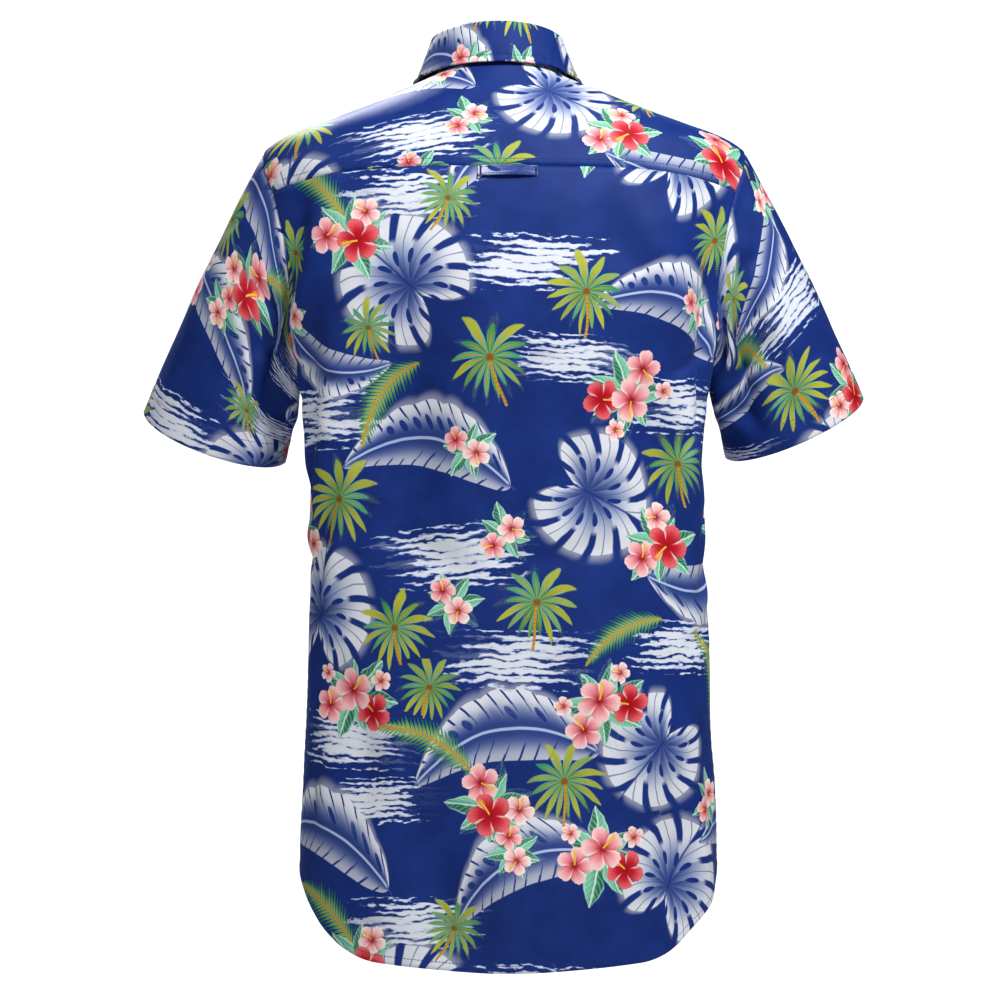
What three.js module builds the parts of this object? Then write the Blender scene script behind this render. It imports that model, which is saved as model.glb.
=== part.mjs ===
// Short-sleeved Hawaiian shirt, filled out as when it is worn, hollow and open at neck, hem and cuffs.
// Millimetres, +Z up. The wearer faces -Y, so +X is the wearer's left side.
// The origin lies between the shoulders, level with the sides of the neck.
import * as THREE from 'three';

// Driving dimensions
const WALL = 2;
const SEAM_GAP = 0.3;
const ARMHOLE_GAP = 0.6;
const LAP = 16;
const LAYER_GAP = 0.4;
const CREASE_MITRE = 1.5;

// A table's rows as objects with named columns
const table = (columns, rows) => rows.map(([name, ...values]) => (
  { name, ...Object.fromEntries(columns.map((column, i) => [column, values[i]])) }
));

// Rings of the body from the hem to the neck. sway shifts a ring to the wearer's left.
// yBack, ySide and yFront say how deep the ring is, zBack, zSide and zFront how high,
// tail how far the shirt-tail drops below the side seam, pinch how far the cloth draws in under
// the arm, square how square the ring is in plan, and hold how flat its back and front run
// before they fall to the sides.
const RING_COLUMNS = [
  'sway', 'halfWidth', 'yBack', 'ySide', 'yFront', 'zBack', 'zSide', 'zFront',
  'tail', 'pinch', 'square', 'hold',
];
const RINGS = table(RING_COLUMNS, [
  ['hem', -4, 181, 111, 0, -121, -672, -670, -670, 81, 0, 2.3, 2],
  ['tail', -4, 180.5, 110, 0, -120, -628, -624, -624, 44, 0, 2.3, 2],
  ['hip', -4, 177.5, 105, 0, -119, -562, -560, -560, 12, 1, 2.3, 2],
  ['waist', -4, 177, 100, 0, -119, -480, -480, -480, 0, 3, 2.35, 2],
  ['ribs', -3, 177, 98, 0, -121, -400, -400, -400, 0, 8, 2.4, 2],
  ['below arm', -1, 185, 101, 0, -124, -320, -320, -320, 0, 18, 2.4, 2],
  ['armpit', 0, 193, 106, 0, -126, -245, -238, -250, 0, 27, 2.4, 2],
  ['chest', 0, 201, 109, 0, -124, -183, -186, -205, 0, 22, 2.4, 3],
  ['blades', 0, 207, 105, -1, -117, -120, -134, -163, 0, 10, 2.4, 4],
  ['yoke seam', 0, 210, 94.5, -2, -107, -67, -93, -126, 0, 2, 2.3, 4],
  ['shoulder tip', 0, 209, 82, -3, -97, -33, -50, -100, 0, 0, 2.1, 3],
  ['mid shoulder', 1, 155, 71, -5, -88, -8, -24, -78, 0, 0, 2.05, 2.4],
  ['trapezius', 3, 103, 61, -7, -76, 10, -3, -58, 0, 0, 2, 2],
  ['neck', 6, 61, 52, -8, -64, 27, 13, -38, 0, 0, 2, 2],
]);
const NECK_LEVEL = RINGS.length - 1;
const ARMPIT_LEVEL = 6;
const TIP_LEVEL = 10;

// Shirt-tail curve along the hem, from the side seam
const TAIL_RISE = 128;
const TAIL_STEEP_SHARE = 0.74;
const TAIL_HALF_PANEL = 215;
const TAIL_ROUND = 0.14;

// Sleeve hem: an oval tilted so that its back half hangs lower
const CUFFS = {
  left: { x: 254.5, y: -56, z: -295, halfWidth: 66, halfDepth: 67, rise: 18.7, forwardTilt: 16 },
  right: { x: 255.5, y: -54, z: -287, halfWidth: 66, halfDepth: 67, rise: 23, forwardTilt: 14 },
};
const SLEEVE_SWELL = { top: 4, under: -7 };
const PINCH_SPREAD = { back: 17, front: 28 };

// Armhole: an oval in ring angle and ring level, stepped all round. The skipped steps are too near
// their neighbours in height.
const ARMHOLE = { steps: 36, backSpread: 25, frontSpread: 25 };
const SKIPPED_STEPS = [1, 17, 19, 35];
const YOKE_BACK_STEP = 6;
const YOKE_FRONT_STEP = 32;

// Largest folds: soft troughs (deeper than 0) and ridges, each along a line on the body
const FOLD_COLUMNS = ['angleTop', 'angleFoot', 'zTop', 'zFoot', 'halfWidth', 'out'];
const FOLDS = table(FOLD_COLUMNS, [
  ['back, left trough', 24, 22, -165, -400, 24, -5],
  ['back, left ridge', 37, 66, -225, -420, 15, 4],
  ['back, left armhole valley', 57, 70, -75, -215, 10, -4],
  ['back, right armhole valley', -58, -69, -70, -215, 12, -4],
  ['back, right trough', -44, -50, -190, -420, 20, -4],
  ['back, right hip ridge', -52, -48, -430, -640, 22, 3],
  ['front, left trough', 126, 140, -180, -430, 22, -4],
  ['front, right trough', -130, -141, -170, -410, 24, -4],
]);

// Collar
const STAND = {
  height: { back: 25.5, side: 31, front: 20 },
  lean: { back: 8, side: 12, front: 8 },
  footGap: 1.1,
  rows: 2,
};
const LEAF = {
  height: { back: 31, side: 35, point: 64 },
  foldShare: 0.14,
  foldRadius: 2.8,
  spread: 27,
  clear: 1.1,
  restLevels: [12.84, 12.7, 12.4, 12.1, 11.8, 11.5, 11.2],
};
const COLLAR_END = 176;

const PLACKET = { halfWidth: 16, wall: 1.3 };
const LOOP = { x: -3, halfLength: 25, height: 8, wall: 1.2, sag: 2.5, drop: 1 };
const BUTTON = { radius: 5.6, thick: 2.6, dish: 0.7, rim: 1.4, clear: 0.3 };
const FRONT_BUTTONS = { topZ: -102, pitch: 88, count: 6 };

const BLUE = 0x23408c;
const rad = THREE.MathUtils.degToRad;
const deg = THREE.MathUtils.radToDeg;
const mix = THREE.MathUtils.lerp;
const smooth = (t) => THREE.MathUtils.smoothstep(t, 0, 1);

// Natural cubic spline through evenly spaced values
function naturalSpline(values) {
  const last = values.length - 1;
  const bend = new Array(last + 1).fill(0);
  const upper = new Array(last + 1).fill(0);
  for (let i = 1; i < last; i += 1) {
    const pivot = 4 - upper[i - 1];
    upper[i] = 1 / pivot;
    bend[i] = (6 * (values[i + 1] - 2 * values[i] + values[i - 1]) - bend[i - 1]) / pivot;
  }
  for (let i = last - 1; i > 0; i -= 1) bend[i] -= upper[i] * bend[i + 1];
  return (at) => {
    const i = THREE.MathUtils.clamp(Math.floor(at), 0, last - 1);
    const b = at - i;
    const a = 1 - b;
    const curve = ((a ** 3 - a) * bend[i] + (b ** 3 - b) * bend[i + 1]) / 6;
    return a * values[i] + b * values[i + 1] + curve;
  };
}

const ringSplines = Object.fromEntries(
  RING_COLUMNS.map((key) => [key, naturalSpline(RINGS.map((ring) => ring[key]))]),
);

function ringAt(level) {
  return Object.fromEntries(RING_COLUMNS.map((key) => [key, ringSplines[key](level)]));
}

// How far out the folds push the cloth at an angle and height
function foldOut(angle, z) {
  let out = 0;
  for (const fold of FOLDS) {
    const along = (z - fold.zTop) / (fold.zFoot - fold.zTop);
    if (along <= 0 || along >= 1) continue;
    const across = (angle - mix(fold.angleTop, fold.angleFoot, along)) / (fold.halfWidth / 1.9);
    out += fold.out * Math.sin(Math.PI * along) ** 1.5 * Math.exp(-across * across);
  }
  return out;
}

// Share of the slow fall of the hem, straight from the side seam and rounded at the centre
function slowFall(share) {
  const toCentre = Math.hypot(1 - share, TAIL_ROUND);
  return (Math.hypot(1, TAIL_ROUND) - toCentre) / (Math.hypot(1, TAIL_ROUND) - TAIL_ROUND);
}

// Point of the body's outer face. The angle is 0 at the centre back and 90 at the wearer's left side.
function bodyPoint(angle, level) {
  const ring = ringAt(level);
  const turn = THREE.MathUtils.euclideanModulo(angle + 180, 360) - 180;
  const sine = Math.sin(rad(turn));
  const cosine = Math.cos(rad(turn));
  const reach = (Math.abs(sine) ** ring.square + Math.abs(cosine) ** ring.square) ** (-1 / ring.square);
  const side = Math.sign(sine);
  const atBack = cosine > 0;
  const depth = atBack ? ring.yBack - ring.ySide : ring.ySide - ring.yFront;
  const middleZ = atBack ? ring.zBack : ring.zFront;
  const spread = atBack ? PINCH_SPREAD.back : PINCH_SPREAD.front;
  const drawIn = ring.pinch * Math.exp(-(((Math.abs(turn) - 90) / spread) ** 2));
  const fromSide = Math.abs(Math.abs(turn) - 90) / 90 * TAIL_HALF_PANEL;
  const drop = TAIL_STEEP_SHARE * smooth(fromSide / TAIL_RISE)
    + (1 - TAIL_STEEP_SHARE) * slowFall(fromSide / TAIL_HALF_PANEL);
  const z = mix(ring.zSide, middleZ, 1 - Math.abs(sine) ** ring.hold) - ring.tail * drop;
  const out = foldOut(turn, z);
  return new THREE.Vector3(
    ring.sway + (ring.halfWidth + out) * reach * sine - side * drawIn,
    ring.ySide + (depth + out) * reach * cosine,
    z,
  );
}

// Outward normal of a surface given by two parameters, for rows that run along the first one
function surfaceNormal(surface, first, second, stepFirst, stepSecond) {
  const alongFirst = surface(first + stepFirst, second).sub(surface(first - stepFirst, second));
  const alongSecond = surface(first, second + stepSecond).sub(surface(first, second - stepSecond));
  return alongFirst.cross(alongSecond).normalize();
}

const bodyByLevel = (level, angle) => bodyPoint(angle, level);
const bodyNormal = (angle, level) => {
  const inside = THREE.MathUtils.clamp(level, 0.01, NECK_LEVEL - 0.01);
  return surfaceNormal(bodyByLevel, inside, angle, 0.01, 0.1);
};

// Armhole: where it runs on the body, by turn from the shoulder tip round the back
function armholePlace(turn) {
  const phase = 2 * Math.PI * turn;
  const middle = (TIP_LEVEL + ARMPIT_LEVEL) / 2;
  const spread = Math.sin(phase) > 0 ? ARMHOLE.backSpread : ARMHOLE.frontSpread;
  return {
    angle: 90 - spread * Math.sin(phase),
    level: middle + (TIP_LEVEL - middle) * Math.cos(phase),
  };
}

// Point of a sleeve's outer face, from the armhole (0) to the hem (1), laid out as on the left side
function sleevePoint(side, along, turn) {
  const place = armholePlace(turn);
  const phase = 2 * Math.PI * turn;
  const start = bodyPoint(side * place.angle, place.level);
  start.x *= side;
  const cuff = side > 0 ? CUFFS.left : CUFFS.right;
  const cuffAcross = new THREE.Vector3(Math.cos(rad(cuff.rise)), 0, Math.sin(rad(cuff.rise)));
  const cuffBack = new THREE.Vector3(0, Math.cos(rad(cuff.forwardTilt)), -Math.sin(rad(cuff.forwardTilt)));
  const end = new THREE.Vector3(cuff.x, cuff.y, cuff.z)
    .addScaledVector(cuffAcross, cuff.halfWidth * Math.cos(phase))
    .addScaledVector(cuffBack, cuff.halfDepth * Math.sin(phase));
  const outward = cuffAcross.clone().multiplyScalar(Math.cos(phase))
    .addScaledVector(cuffBack, Math.sin(phase));
  const topShare = 0.5 + 0.5 * Math.cos(phase);
  const swell = SLEEVE_SWELL.top * topShare * Math.sin(Math.PI * along)
    + SLEEVE_SWELL.under * (1 - topShare) ** 2 * Math.sin(Math.PI * Math.sqrt(along));
  return start.lerp(end, along).addScaledVector(outward, swell);
}

function sleeveNormal(side, along, turn) {
  const surface = (a, b) => sleevePoint(side, a, b);
  return surfaceNormal(surface, THREE.MathUtils.clamp(along, 0.003, 0.997), turn, 0.002, 0.001);
}

// Offset shared by body and sleeve where they are sewn, so that their cut edges face each other
function armholeMitre(side, turn) {
  const place = armholePlace(turn);
  const sum = bodyNormal(side * place.angle, place.level);
  sum.x *= side;
  sum.add(sleeveNormal(side, 0, turn));
  const length = sum.length();
  sum.multiplyScalar(Math.min(2 / length ** 2, CREASE_MITRE / length));
  sum.x *= side;
  return sum;
}

// A grid holds rows of { point, normal }. Rows by columns face outward.
function makeGrid(rows, columns, place) {
  const grid = [];
  for (let i = 0; i < rows; i += 1) {
    const row = [];
    for (let j = 0; j < columns; j += 1) row.push(place(i, j));
    grid.push(row);
  }
  return grid;
}

// Draws an edge point back towards its inner neighbour
function drawBack(spot, neighbour, gap) {
  const away = neighbour.point.clone().sub(spot.point);
  spot.point.addScaledVector(away, gap / away.length());
}

function drawBackRow(grid, row, inner, gap) {
  grid[row].forEach((spot, j) => drawBack(spot, grid[inner][j], gap));
}

function drawBackColumn(grid, column, inner, gap) {
  grid.forEach((row) => drawBack(row[column], row[inner], gap));
}

// Closed wall between a grid's outer face and its inner face, offset along the normals.
// A grid whose columns run the other way round the body is flipped.
function wallGeometry(grid, wall, { wraps = false, offset = 0, flip = false } = {}) {
  const rows = grid.length;
  const columns = grid[0].length;
  const count = rows * columns;
  const outer = [];
  const inner = [];
  for (const row of grid) {
    for (const { point, normal } of row) {
      outer.push(...point.clone().addScaledVector(normal, offset).toArray());
      inner.push(...point.clone().addScaledVector(normal, offset - wall).toArray());
    }
  }
  const faces = [];
  const spans = wraps ? columns : columns - 1;
  for (let i = 0; i < rows - 1; i += 1) {
    for (let j = 0; j < spans; j += 1) {
      const a = i * columns + j;
      const b = i * columns + ((j + 1) % columns);
      const c = a + columns;
      const d = b + columns;
      if (flip) faces.push([a, d, c], [a, b, d]);
      else faces.push([a, c, d], [a, d, b]);
    }
  }
  const edges = new Map();
  for (const [a, b, c] of faces) {
    for (const [from, to] of [[a, b], [b, c], [c, a]]) edges.set(`${from},${to}`, [from, to]);
  }
  const indices = faces.flat();
  for (const [a, b, c] of faces) indices.push(a + count, c + count, b + count);
  for (const [from, to] of edges.values()) {
    if (edges.has(`${to},${from}`)) continue;
    indices.push(to, from, from + count, to, from + count, to + count);
  }
  const geometry = new THREE.BufferGeometry();
  geometry.setAttribute('position', new THREE.Float32BufferAttribute([...outer, ...inner], 3));
  geometry.setIndex(indices);
  geometry.computeVertexNormals();
  return geometry;
}

const cloth = new THREE.MeshStandardMaterial({ color: BLUE, roughness: 0.8, metalness: 0 });
const buttonPlastic = new THREE.MeshStandardMaterial({ color: 0x29386b, roughness: 0.3, metalness: 0 });
const shirt = new THREE.Group();
shirt.name = 'hawaiian_shirt';

function addPiece(name, geometry, material = cloth) {
  const mesh = new THREE.Mesh(geometry, material);
  mesh.name = name;
  shirt.add(mesh);
  return mesh;
}

// Levels of the rows below the arms, then one row for each armhole step
const LOWER_ROWS = 15;
const BACK_COLUMNS = 23;
const YOKE_ROWS = 8;
const sideRows = Array.from({ length: LOWER_ROWS }, (_, i) => (
  { angle: 90, level: ARMPIT_LEVEL * i / LOWER_ROWS }
));
const HALF_STEPS = ARMHOLE.steps / 2;

function armholeSteps(first, last) {
  const direction = Math.sign(last - first);
  const places = [];
  for (let step = first; step !== last + direction; step += direction) {
    if (SKIPPED_STEPS.includes((step + ARMHOLE.steps) % ARMHOLE.steps)) continue;
    const turn = step / ARMHOLE.steps;
    places.push({ ...armholePlace(turn), turn });
  }
  return places;
}

const bodySpot = (angle, level) => ({ point: bodyPoint(angle, level), normal: bodyNormal(angle, level) });

// Back panel
function backPanel() {
  const columns = BACK_COLUMNS;
  const rows = [...sideRows, ...armholeSteps(HALF_STEPS, YOKE_BACK_STEP)];
  const grid = makeGrid(rows.length, columns, (i, j) => {
    const across = 2 * j / (columns - 1) - 1;
    return bodySpot(rows[i].angle * across, rows[i].level);
  });
  rows.forEach((row, i) => {
    const onArmhole = row.turn !== undefined;
    if (onArmhole) {
      grid[i][columns - 1].normal = armholeMitre(1, row.turn);
      grid[i][0].normal = armholeMitre(-1, row.turn);
    }
    const gap = onArmhole ? ARMHOLE_GAP / 2 : SEAM_GAP / 2;
    drawBack(grid[i][0], grid[i][1], gap);
    drawBack(grid[i][columns - 1], grid[i][columns - 2], gap);
  });
  drawBackRow(grid, rows.length - 1, rows.length - 2, SEAM_GAP / 2);
  return wallGeometry(grid, WALL);
}

// Back yoke, in columns that run from the back seam, or from the armhole, up to the neck
function backYoke() {
  const rows = YOKE_ROWS;
  const middleColumns = BACK_COLUMNS - 2;
  const armSide = armholeSteps(YOKE_BACK_STEP, YOKE_FRONT_STEP - ARMHOLE.steps)
    .map((place) => ({ ...place, side: 1 }));
  const seamAngle = armSide[0].angle;
  const seamLevel = armSide[0].level;
  const middle = Array.from({ length: middleColumns }, (_, j) => (
    { angle: seamAngle * (2 * (j + 1) / (middleColumns + 1) - 1), level: seamLevel }
  ));
  const otherSide = armSide.map((place) => ({ ...place, angle: -place.angle, side: -1 })).reverse();
  const columns = [...otherSide, ...middle, ...armSide];
  const grid = makeGrid(rows, columns.length, (i, j) => {
    const up = i / (rows - 1);
    return bodySpot(columns[j].angle, mix(columns[j].level, NECK_LEVEL, up));
  });
  const last = columns.length - 1;
  columns.forEach((column, j) => {
    const onArmhole = column.turn !== undefined;
    if (onArmhole) grid[0][j].normal = armholeMitre(column.side, column.turn);
    drawBack(grid[0][j], grid[1][j], onArmhole ? ARMHOLE_GAP / 2 : SEAM_GAP / 2);
  });
  drawBackColumn(grid, 0, 1, SEAM_GAP / 2);
  drawBackColumn(grid, last, last - 1, SEAM_GAP / 2);
  return wallGeometry(grid, WALL);
}

// Angle that lies a given distance past the centre front, on the other side
const pastCentre = (distance, level) => 180 + deg(Math.asin(distance / ringAt(level).halfWidth));

// A front: side 1 is the wearer's left. The right front steps in behind the left one where they lap.
function frontPanel(side) {
  const isUnder = side < 0;
  const columns = 12;
  const upperRows = YOKE_ROWS - 1;
  const rows = [...sideRows, ...armholeSteps(HALF_STEPS, YOKE_FRONT_STEP)];
  const seam = rows[rows.length - 1];
  for (let i = 1; i <= upperRows; i += 1) {
    rows.push({ angle: seam.angle, level: mix(seam.level, NECK_LEVEL, i / upperRows), onYoke: true });
  }
  const grid = makeGrid(rows.length, columns, (i, j) => {
    const { angle, level } = rows[i];
    const bandAngle = pastCentre(-LAP - 8, level);
    const lapAngle = pastCentre(-LAP - 1.5, level);
    const endAngle = pastCentre(LAP, level);
    const bandColumns = 4;
    const plain = columns - 1 - bandColumns;
    let at = mix(angle, bandAngle, Math.min(1, j / plain));
    if (j === plain + 1) at = lapAngle;
    if (j > plain + 1) at = mix(lapAngle, endAngle, (j - plain - 1) / (bandColumns - 1));
    const spot = bodySpot(side * at, level);
    if (isUnder && j > plain) spot.point.addScaledVector(spot.normal, -WALL - LAYER_GAP);
    return spot;
  });
  rows.forEach((row, i) => {
    const onArmhole = row.turn !== undefined;
    if (onArmhole) grid[i][0].normal = armholeMitre(side, row.turn);
    drawBack(grid[i][0], grid[i][1], onArmhole ? ARMHOLE_GAP / 2 : SEAM_GAP / 2);
  });
  return wallGeometry(grid, WALL, { flip: isUnder });
}

// A sleeve, a tube from the armhole to the hem
function sleeve(side) {
  const rows = 10;
  const round = armholeSteps(0, ARMHOLE.steps - 1);
  const grid = makeGrid(rows, round.length, (i, j) => {
    const along = (i / (rows - 1)) ** 1.2;
    const { turn } = round[j];
    const point = sleevePoint(side, along, turn);
    const normal = sleeveNormal(side, along, turn);
    point.x *= side;
    normal.x *= side;
    return { point, normal: i === 0 ? armholeMitre(side, turn) : normal };
  });
  drawBackRow(grid, 0, 1, ARMHOLE_GAP / 2);
  return wallGeometry(grid, WALL, { wraps: true, flip: side < 0 });
}

// A size of the collar that runs from the centre back over the side to the front
function roundCollar({ back, side, front }, angle) {
  const off = Math.abs(angle);
  return mix(mix(back, side, smooth(off / 75)), front, smooth((off - 100) / 70));
}

// Collar stand: its left end passes over its right end by the lap
const neckRing = RINGS[NECK_LEVEL];
const fromNeckMiddle = (point) => (
  new THREE.Vector3(point.x - neckRing.sway, point.y - neckRing.ySide, 0).normalize()
);

function standPoint(angle, up) {
  const foot = bodyPoint(angle, NECK_LEVEL);
  const outward = fromNeckMiddle(foot);
  const height = roundCollar(STAND.height, angle);
  const lean = roundCollar(STAND.lean, angle);
  const under = angle < 0 ? smooth((Math.abs(angle) - 150) / 12) * (WALL + LAYER_GAP) : 0;
  foot.z += STAND.footGap + up * height;
  return foot.addScaledVector(outward, 1 - lean * up - under);
}

function standNormal(angle, up) {
  const byUp = (second, first) => standPoint(first, second);
  return surfaceNormal(byUp, THREE.MathUtils.clamp(up, 0.01, 0.99), angle, 0.01, 0.5);
}

function collarStand() {
  const columns = 49;
  const overlap = deg(Math.asin(LAP / neckRing.halfWidth));
  const grid = makeGrid(STAND.rows + 1, columns, (i, j) => {
    const angle = (180 + overlap) * (2 * j / (columns - 1) - 1);
    const up = i / STAND.rows;
    return { point: standPoint(angle, up), normal: standNormal(angle, up) };
  });
  return wallGeometry(grid, WALL);
}

// Collar leaf: it rises from the stand's top, folds over and falls outside.
// Its points lie on the fronts.
function leafPath(angle) {
  const top = standPoint(angle, 1);
  const outward = fromNeckMiddle(top);
  const path = [];
  const arcSteps = 4;
  const rise = LAYER_GAP + LEAF.foldRadius * 0.6;
  path.push(top.clone().setZ(top.z + LAYER_GAP));
  for (let i = 0; i <= arcSteps; i += 1) {
    const turn = Math.PI * i / arcSteps;
    path.push(top.clone()
      .addScaledVector(outward, LEAF.foldRadius * (1 - Math.cos(turn)))
      .setZ(top.z + rise + LEAF.foldRadius * Math.sin(turn)));
  }
  for (const level of LEAF.restLevels) {
    const spot = bodySpot(angle, level);
    path.push(spot.point.addScaledVector(spot.normal, WALL + LEAF.clear));
  }
  return path;
}

function pointAlong(path, distance) {
  let left = distance;
  for (let i = 1; i < path.length; i += 1) {
    const length = path[i].distanceTo(path[i - 1]);
    if (left <= length || i === path.length - 1) return path[i - 1].clone().lerp(path[i], left / length);
    left -= length;
  }
  return path[0].clone();
}

function leafPoint(down, across) {
  const { back, side, point } = LEAF.height;
  const sideShare = smooth(Math.abs(across) / 0.5);
  const endShare = Math.max(0, 2 * Math.abs(across) - 1) ** 1.4;
  const height = mix(mix(back, side, sideShare), point, endShare) + LEAF.foldRadius * 4;
  const belowFold = Math.max(0, down - LEAF.foldShare) / (1 - LEAF.foldShare);
  const endAngle = COLLAR_END - LEAF.spread * belowFold;
  return pointAlong(leafPath(across * endAngle), down * height);
}

function collarLeaf() {
  const columns = 33;
  const fractions = [0, 0.06, 0.12, 0.18, 0.25, 0.4, 0.6, 0.8, 1];
  const grid = makeGrid(fractions.length, columns, (i, j) => {
    const across = 2 * j / (columns - 1) - 1;
    const down = fractions[i];
    const inside = THREE.MathUtils.clamp(down, 0.01, 0.99);
    const within = THREE.MathUtils.clamp(across, -0.99, 0.99);
    const normal = surfaceNormal(leafPoint, inside, within, 0.01, 0.005);
    return { point: leafPoint(down, across), normal: normal.negate() };
  });
  return wallGeometry(grid, -WALL);
}

// Front band on the left front
function placket() {
  const columns = 3;
  const rows = 28;
  const topClear = 0.05;
  const grid = makeGrid(rows, columns, (i, j) => {
    const level = (NECK_LEVEL - topClear) * i / (rows - 1);
    const across = PLACKET.halfWidth * (2 * j / (columns - 1) - 1);
    return bodySpot(pastCentre(across, level), level);
  });
  return wallGeometry(grid, PLACKET.wall, { offset: LAYER_GAP + PLACKET.wall });
}

// Level at which the centre front or centre back passes a height
function levelAtHeight(angle, z) {
  let low = 0;
  let high = NECK_LEVEL;
  for (let i = 0; i < 40; i += 1) {
    const middle = (low + high) / 2;
    if (bodyPoint(angle, middle).z < z) low = middle;
    else high = middle;
  }
  return low;
}

// Locker loop: a tape on the back panel, its top edge at the yoke seam
function lockerLoop() {
  const columns = 9;
  const seamZ = bodyPoint(0, armholePlace(YOKE_BACK_STEP / ARMHOLE.steps).level).z;
  const grid = makeGrid(3, columns, (i, j) => {
    const level = levelAtHeight(0, seamZ - LOOP.drop - LOOP.height * (1 - i / 2));
    const across = 2 * j / (columns - 1) - 1;
    const angle = deg(Math.asin((LOOP.x + across * LOOP.halfLength) / ringAt(level).halfWidth));
    const spot = bodySpot(angle, level);
    spot.point.addScaledVector(spot.normal, LOOP.sag * (1 - across ** 2));
    return spot;
  });
  return wallGeometry(grid, LOOP.wall, { offset: LAYER_GAP + LOOP.wall });
}

// Button: a dished disc whose back face sits on the cloth below it
const { radius, thick, dish, rim } = BUTTON;
const buttonGeometry = new THREE.LatheGeometry([
  new THREE.Vector2(0, 0),
  new THREE.Vector2(radius - 1, 0),
  new THREE.Vector2(radius, 0.9),
  new THREE.Vector2(radius - 0.4, thick),
  new THREE.Vector2(radius - rim, thick - dish),
  new THREE.Vector2(0, thick - dish),
], 12);

function addButton(name, point, normal) {
  const button = addPiece(name, buttonGeometry, buttonPlastic);
  button.position.copy(point);
  button.quaternion.setFromUnitVectors(new THREE.Vector3(0, 1, 0), normal);
}

addPiece('back', backPanel());
addPiece('back_yoke', backYoke());
addPiece('front_left', frontPanel(1));
addPiece('front_right', frontPanel(-1));
addPiece('sleeve_left', sleeve(1));
addPiece('sleeve_right', sleeve(-1));
addPiece('collar_stand', collarStand());
addPiece('collar_leaf', collarLeaf());
addPiece('front_placket', placket());
addPiece('locker_loop', lockerLoop());
for (let i = 0; i < FRONT_BUTTONS.count; i += 1) {
  const level = levelAtHeight(180, FRONT_BUTTONS.topZ - FRONT_BUTTONS.pitch * i);
  const { point, normal } = bodySpot(180, level);
  const lift = LAYER_GAP + PLACKET.wall + BUTTON.clear;
  addButton(`button_${i + 1}`, point.addScaledVector(normal, lift), normal);
}
const collarButtonNormal = standNormal(180, 0.5);
addButton(
  'button_collar',
  standPoint(180, 0.5).addScaledVector(collarButtonNormal, BUTTON.clear),
  collarButtonNormal,
);

export default shirt;
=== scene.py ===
import bpy
import numpy as np
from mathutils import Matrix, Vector


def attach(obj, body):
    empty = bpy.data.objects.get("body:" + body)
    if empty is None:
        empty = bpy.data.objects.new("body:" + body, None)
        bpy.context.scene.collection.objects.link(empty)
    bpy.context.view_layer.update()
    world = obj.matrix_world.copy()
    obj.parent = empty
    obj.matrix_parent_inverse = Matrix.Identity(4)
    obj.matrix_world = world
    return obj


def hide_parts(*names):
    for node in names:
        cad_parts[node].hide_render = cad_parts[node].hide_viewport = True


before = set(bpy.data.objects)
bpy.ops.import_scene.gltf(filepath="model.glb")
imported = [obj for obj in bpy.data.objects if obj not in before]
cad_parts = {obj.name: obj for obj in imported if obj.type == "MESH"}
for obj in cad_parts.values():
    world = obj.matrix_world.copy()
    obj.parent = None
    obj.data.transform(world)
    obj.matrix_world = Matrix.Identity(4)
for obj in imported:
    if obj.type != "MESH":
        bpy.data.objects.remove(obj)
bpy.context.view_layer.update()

# Hawaiian shirt. The wearer faces -Y, so +X is the wearer's left. Sizes are in millimetres until
# a mesh is made, and the forms below are those of the solids, with finer creases.
MM = 0.001
TAU = 2 * np.pi
SEED = 11
SIDES = {1: "left", -1: "right"}
# Spacing of the cloth's points, and thickness of its shells and of the solids' walls
GRID = 2.8
CLOTH = 0.85
WALL = 2.0
# How far each front laps past the centre, and the space left between pieces that lie together
LAP = 16.0
LAYER_GAP = 0.4
# How far a panel's edge stands back from the line where it is sewn
SEAM_GAP = 0.15
ARMHOLE_GAP = 0.3

RING_COLUMNS = [
    "sway", "half_width", "y_back", "y_side", "y_front", "z_back", "z_side", "z_front",
    "tail", "pinch", "square", "hold",
]
RINGS = [
    ("hem", -4, 181, 111, 0, -121, -672, -670, -670, 81, 0, 2.3, 2),
    ("tail", -4, 180.5, 110, 0, -120, -628, -624, -624, 44, 0, 2.3, 2),
    ("hip", -4, 177.5, 105, 0, -119, -562, -560, -560, 12, 1, 2.3, 2),
    ("waist", -4, 177, 100, 0, -119, -480, -480, -480, 0, 3, 2.35, 2),
    ("ribs", -3, 177, 98, 0, -121, -400, -400, -400, 0, 8, 2.4, 2),
    ("below arm", -1, 185, 101, 0, -124, -320, -320, -320, 0, 18, 2.4, 2),
    ("armpit", 0, 193, 106, 0, -126, -245, -238, -250, 0, 27, 2.4, 2),
    ("chest", 0, 201, 109, 0, -124, -183, -186, -205, 0, 22, 2.4, 3),
    ("blades", 0, 207, 105, -1, -117, -120, -134, -163, 0, 10, 2.4, 4),
    ("yoke seam", 0, 210, 94.5, -2, -107, -67, -93, -126, 0, 2, 2.3, 4),
    ("shoulder tip", 0, 209, 82, -3, -97, -33, -50, -100, 0, 0, 2.1, 3),
    ("mid shoulder", 1, 155, 71, -5, -88, -8, -24, -78, 0, 0, 2.05, 2.4),
    ("trapezius", 3, 103, 61, -7, -76, 10, -3, -58, 0, 0, 2, 2),
    ("neck", 6, 61, 52, -8, -64, 27, 13, -38, 0, 0, 2, 2),
]
NECK_LEVEL = len(RINGS) - 1
ARMPIT_LEVEL = 6
TIP_LEVEL = 10

TAIL_RISE = 128
TAIL_STEEP_SHARE = 0.74
TAIL_ROUND = 0.14
HALF_PANEL = 215
PINCH_SPREAD_BACK = 17
PINCH_SPREAD_FRONT = 28
MM_PER_DEGREE = HALF_PANEL / 90

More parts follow.
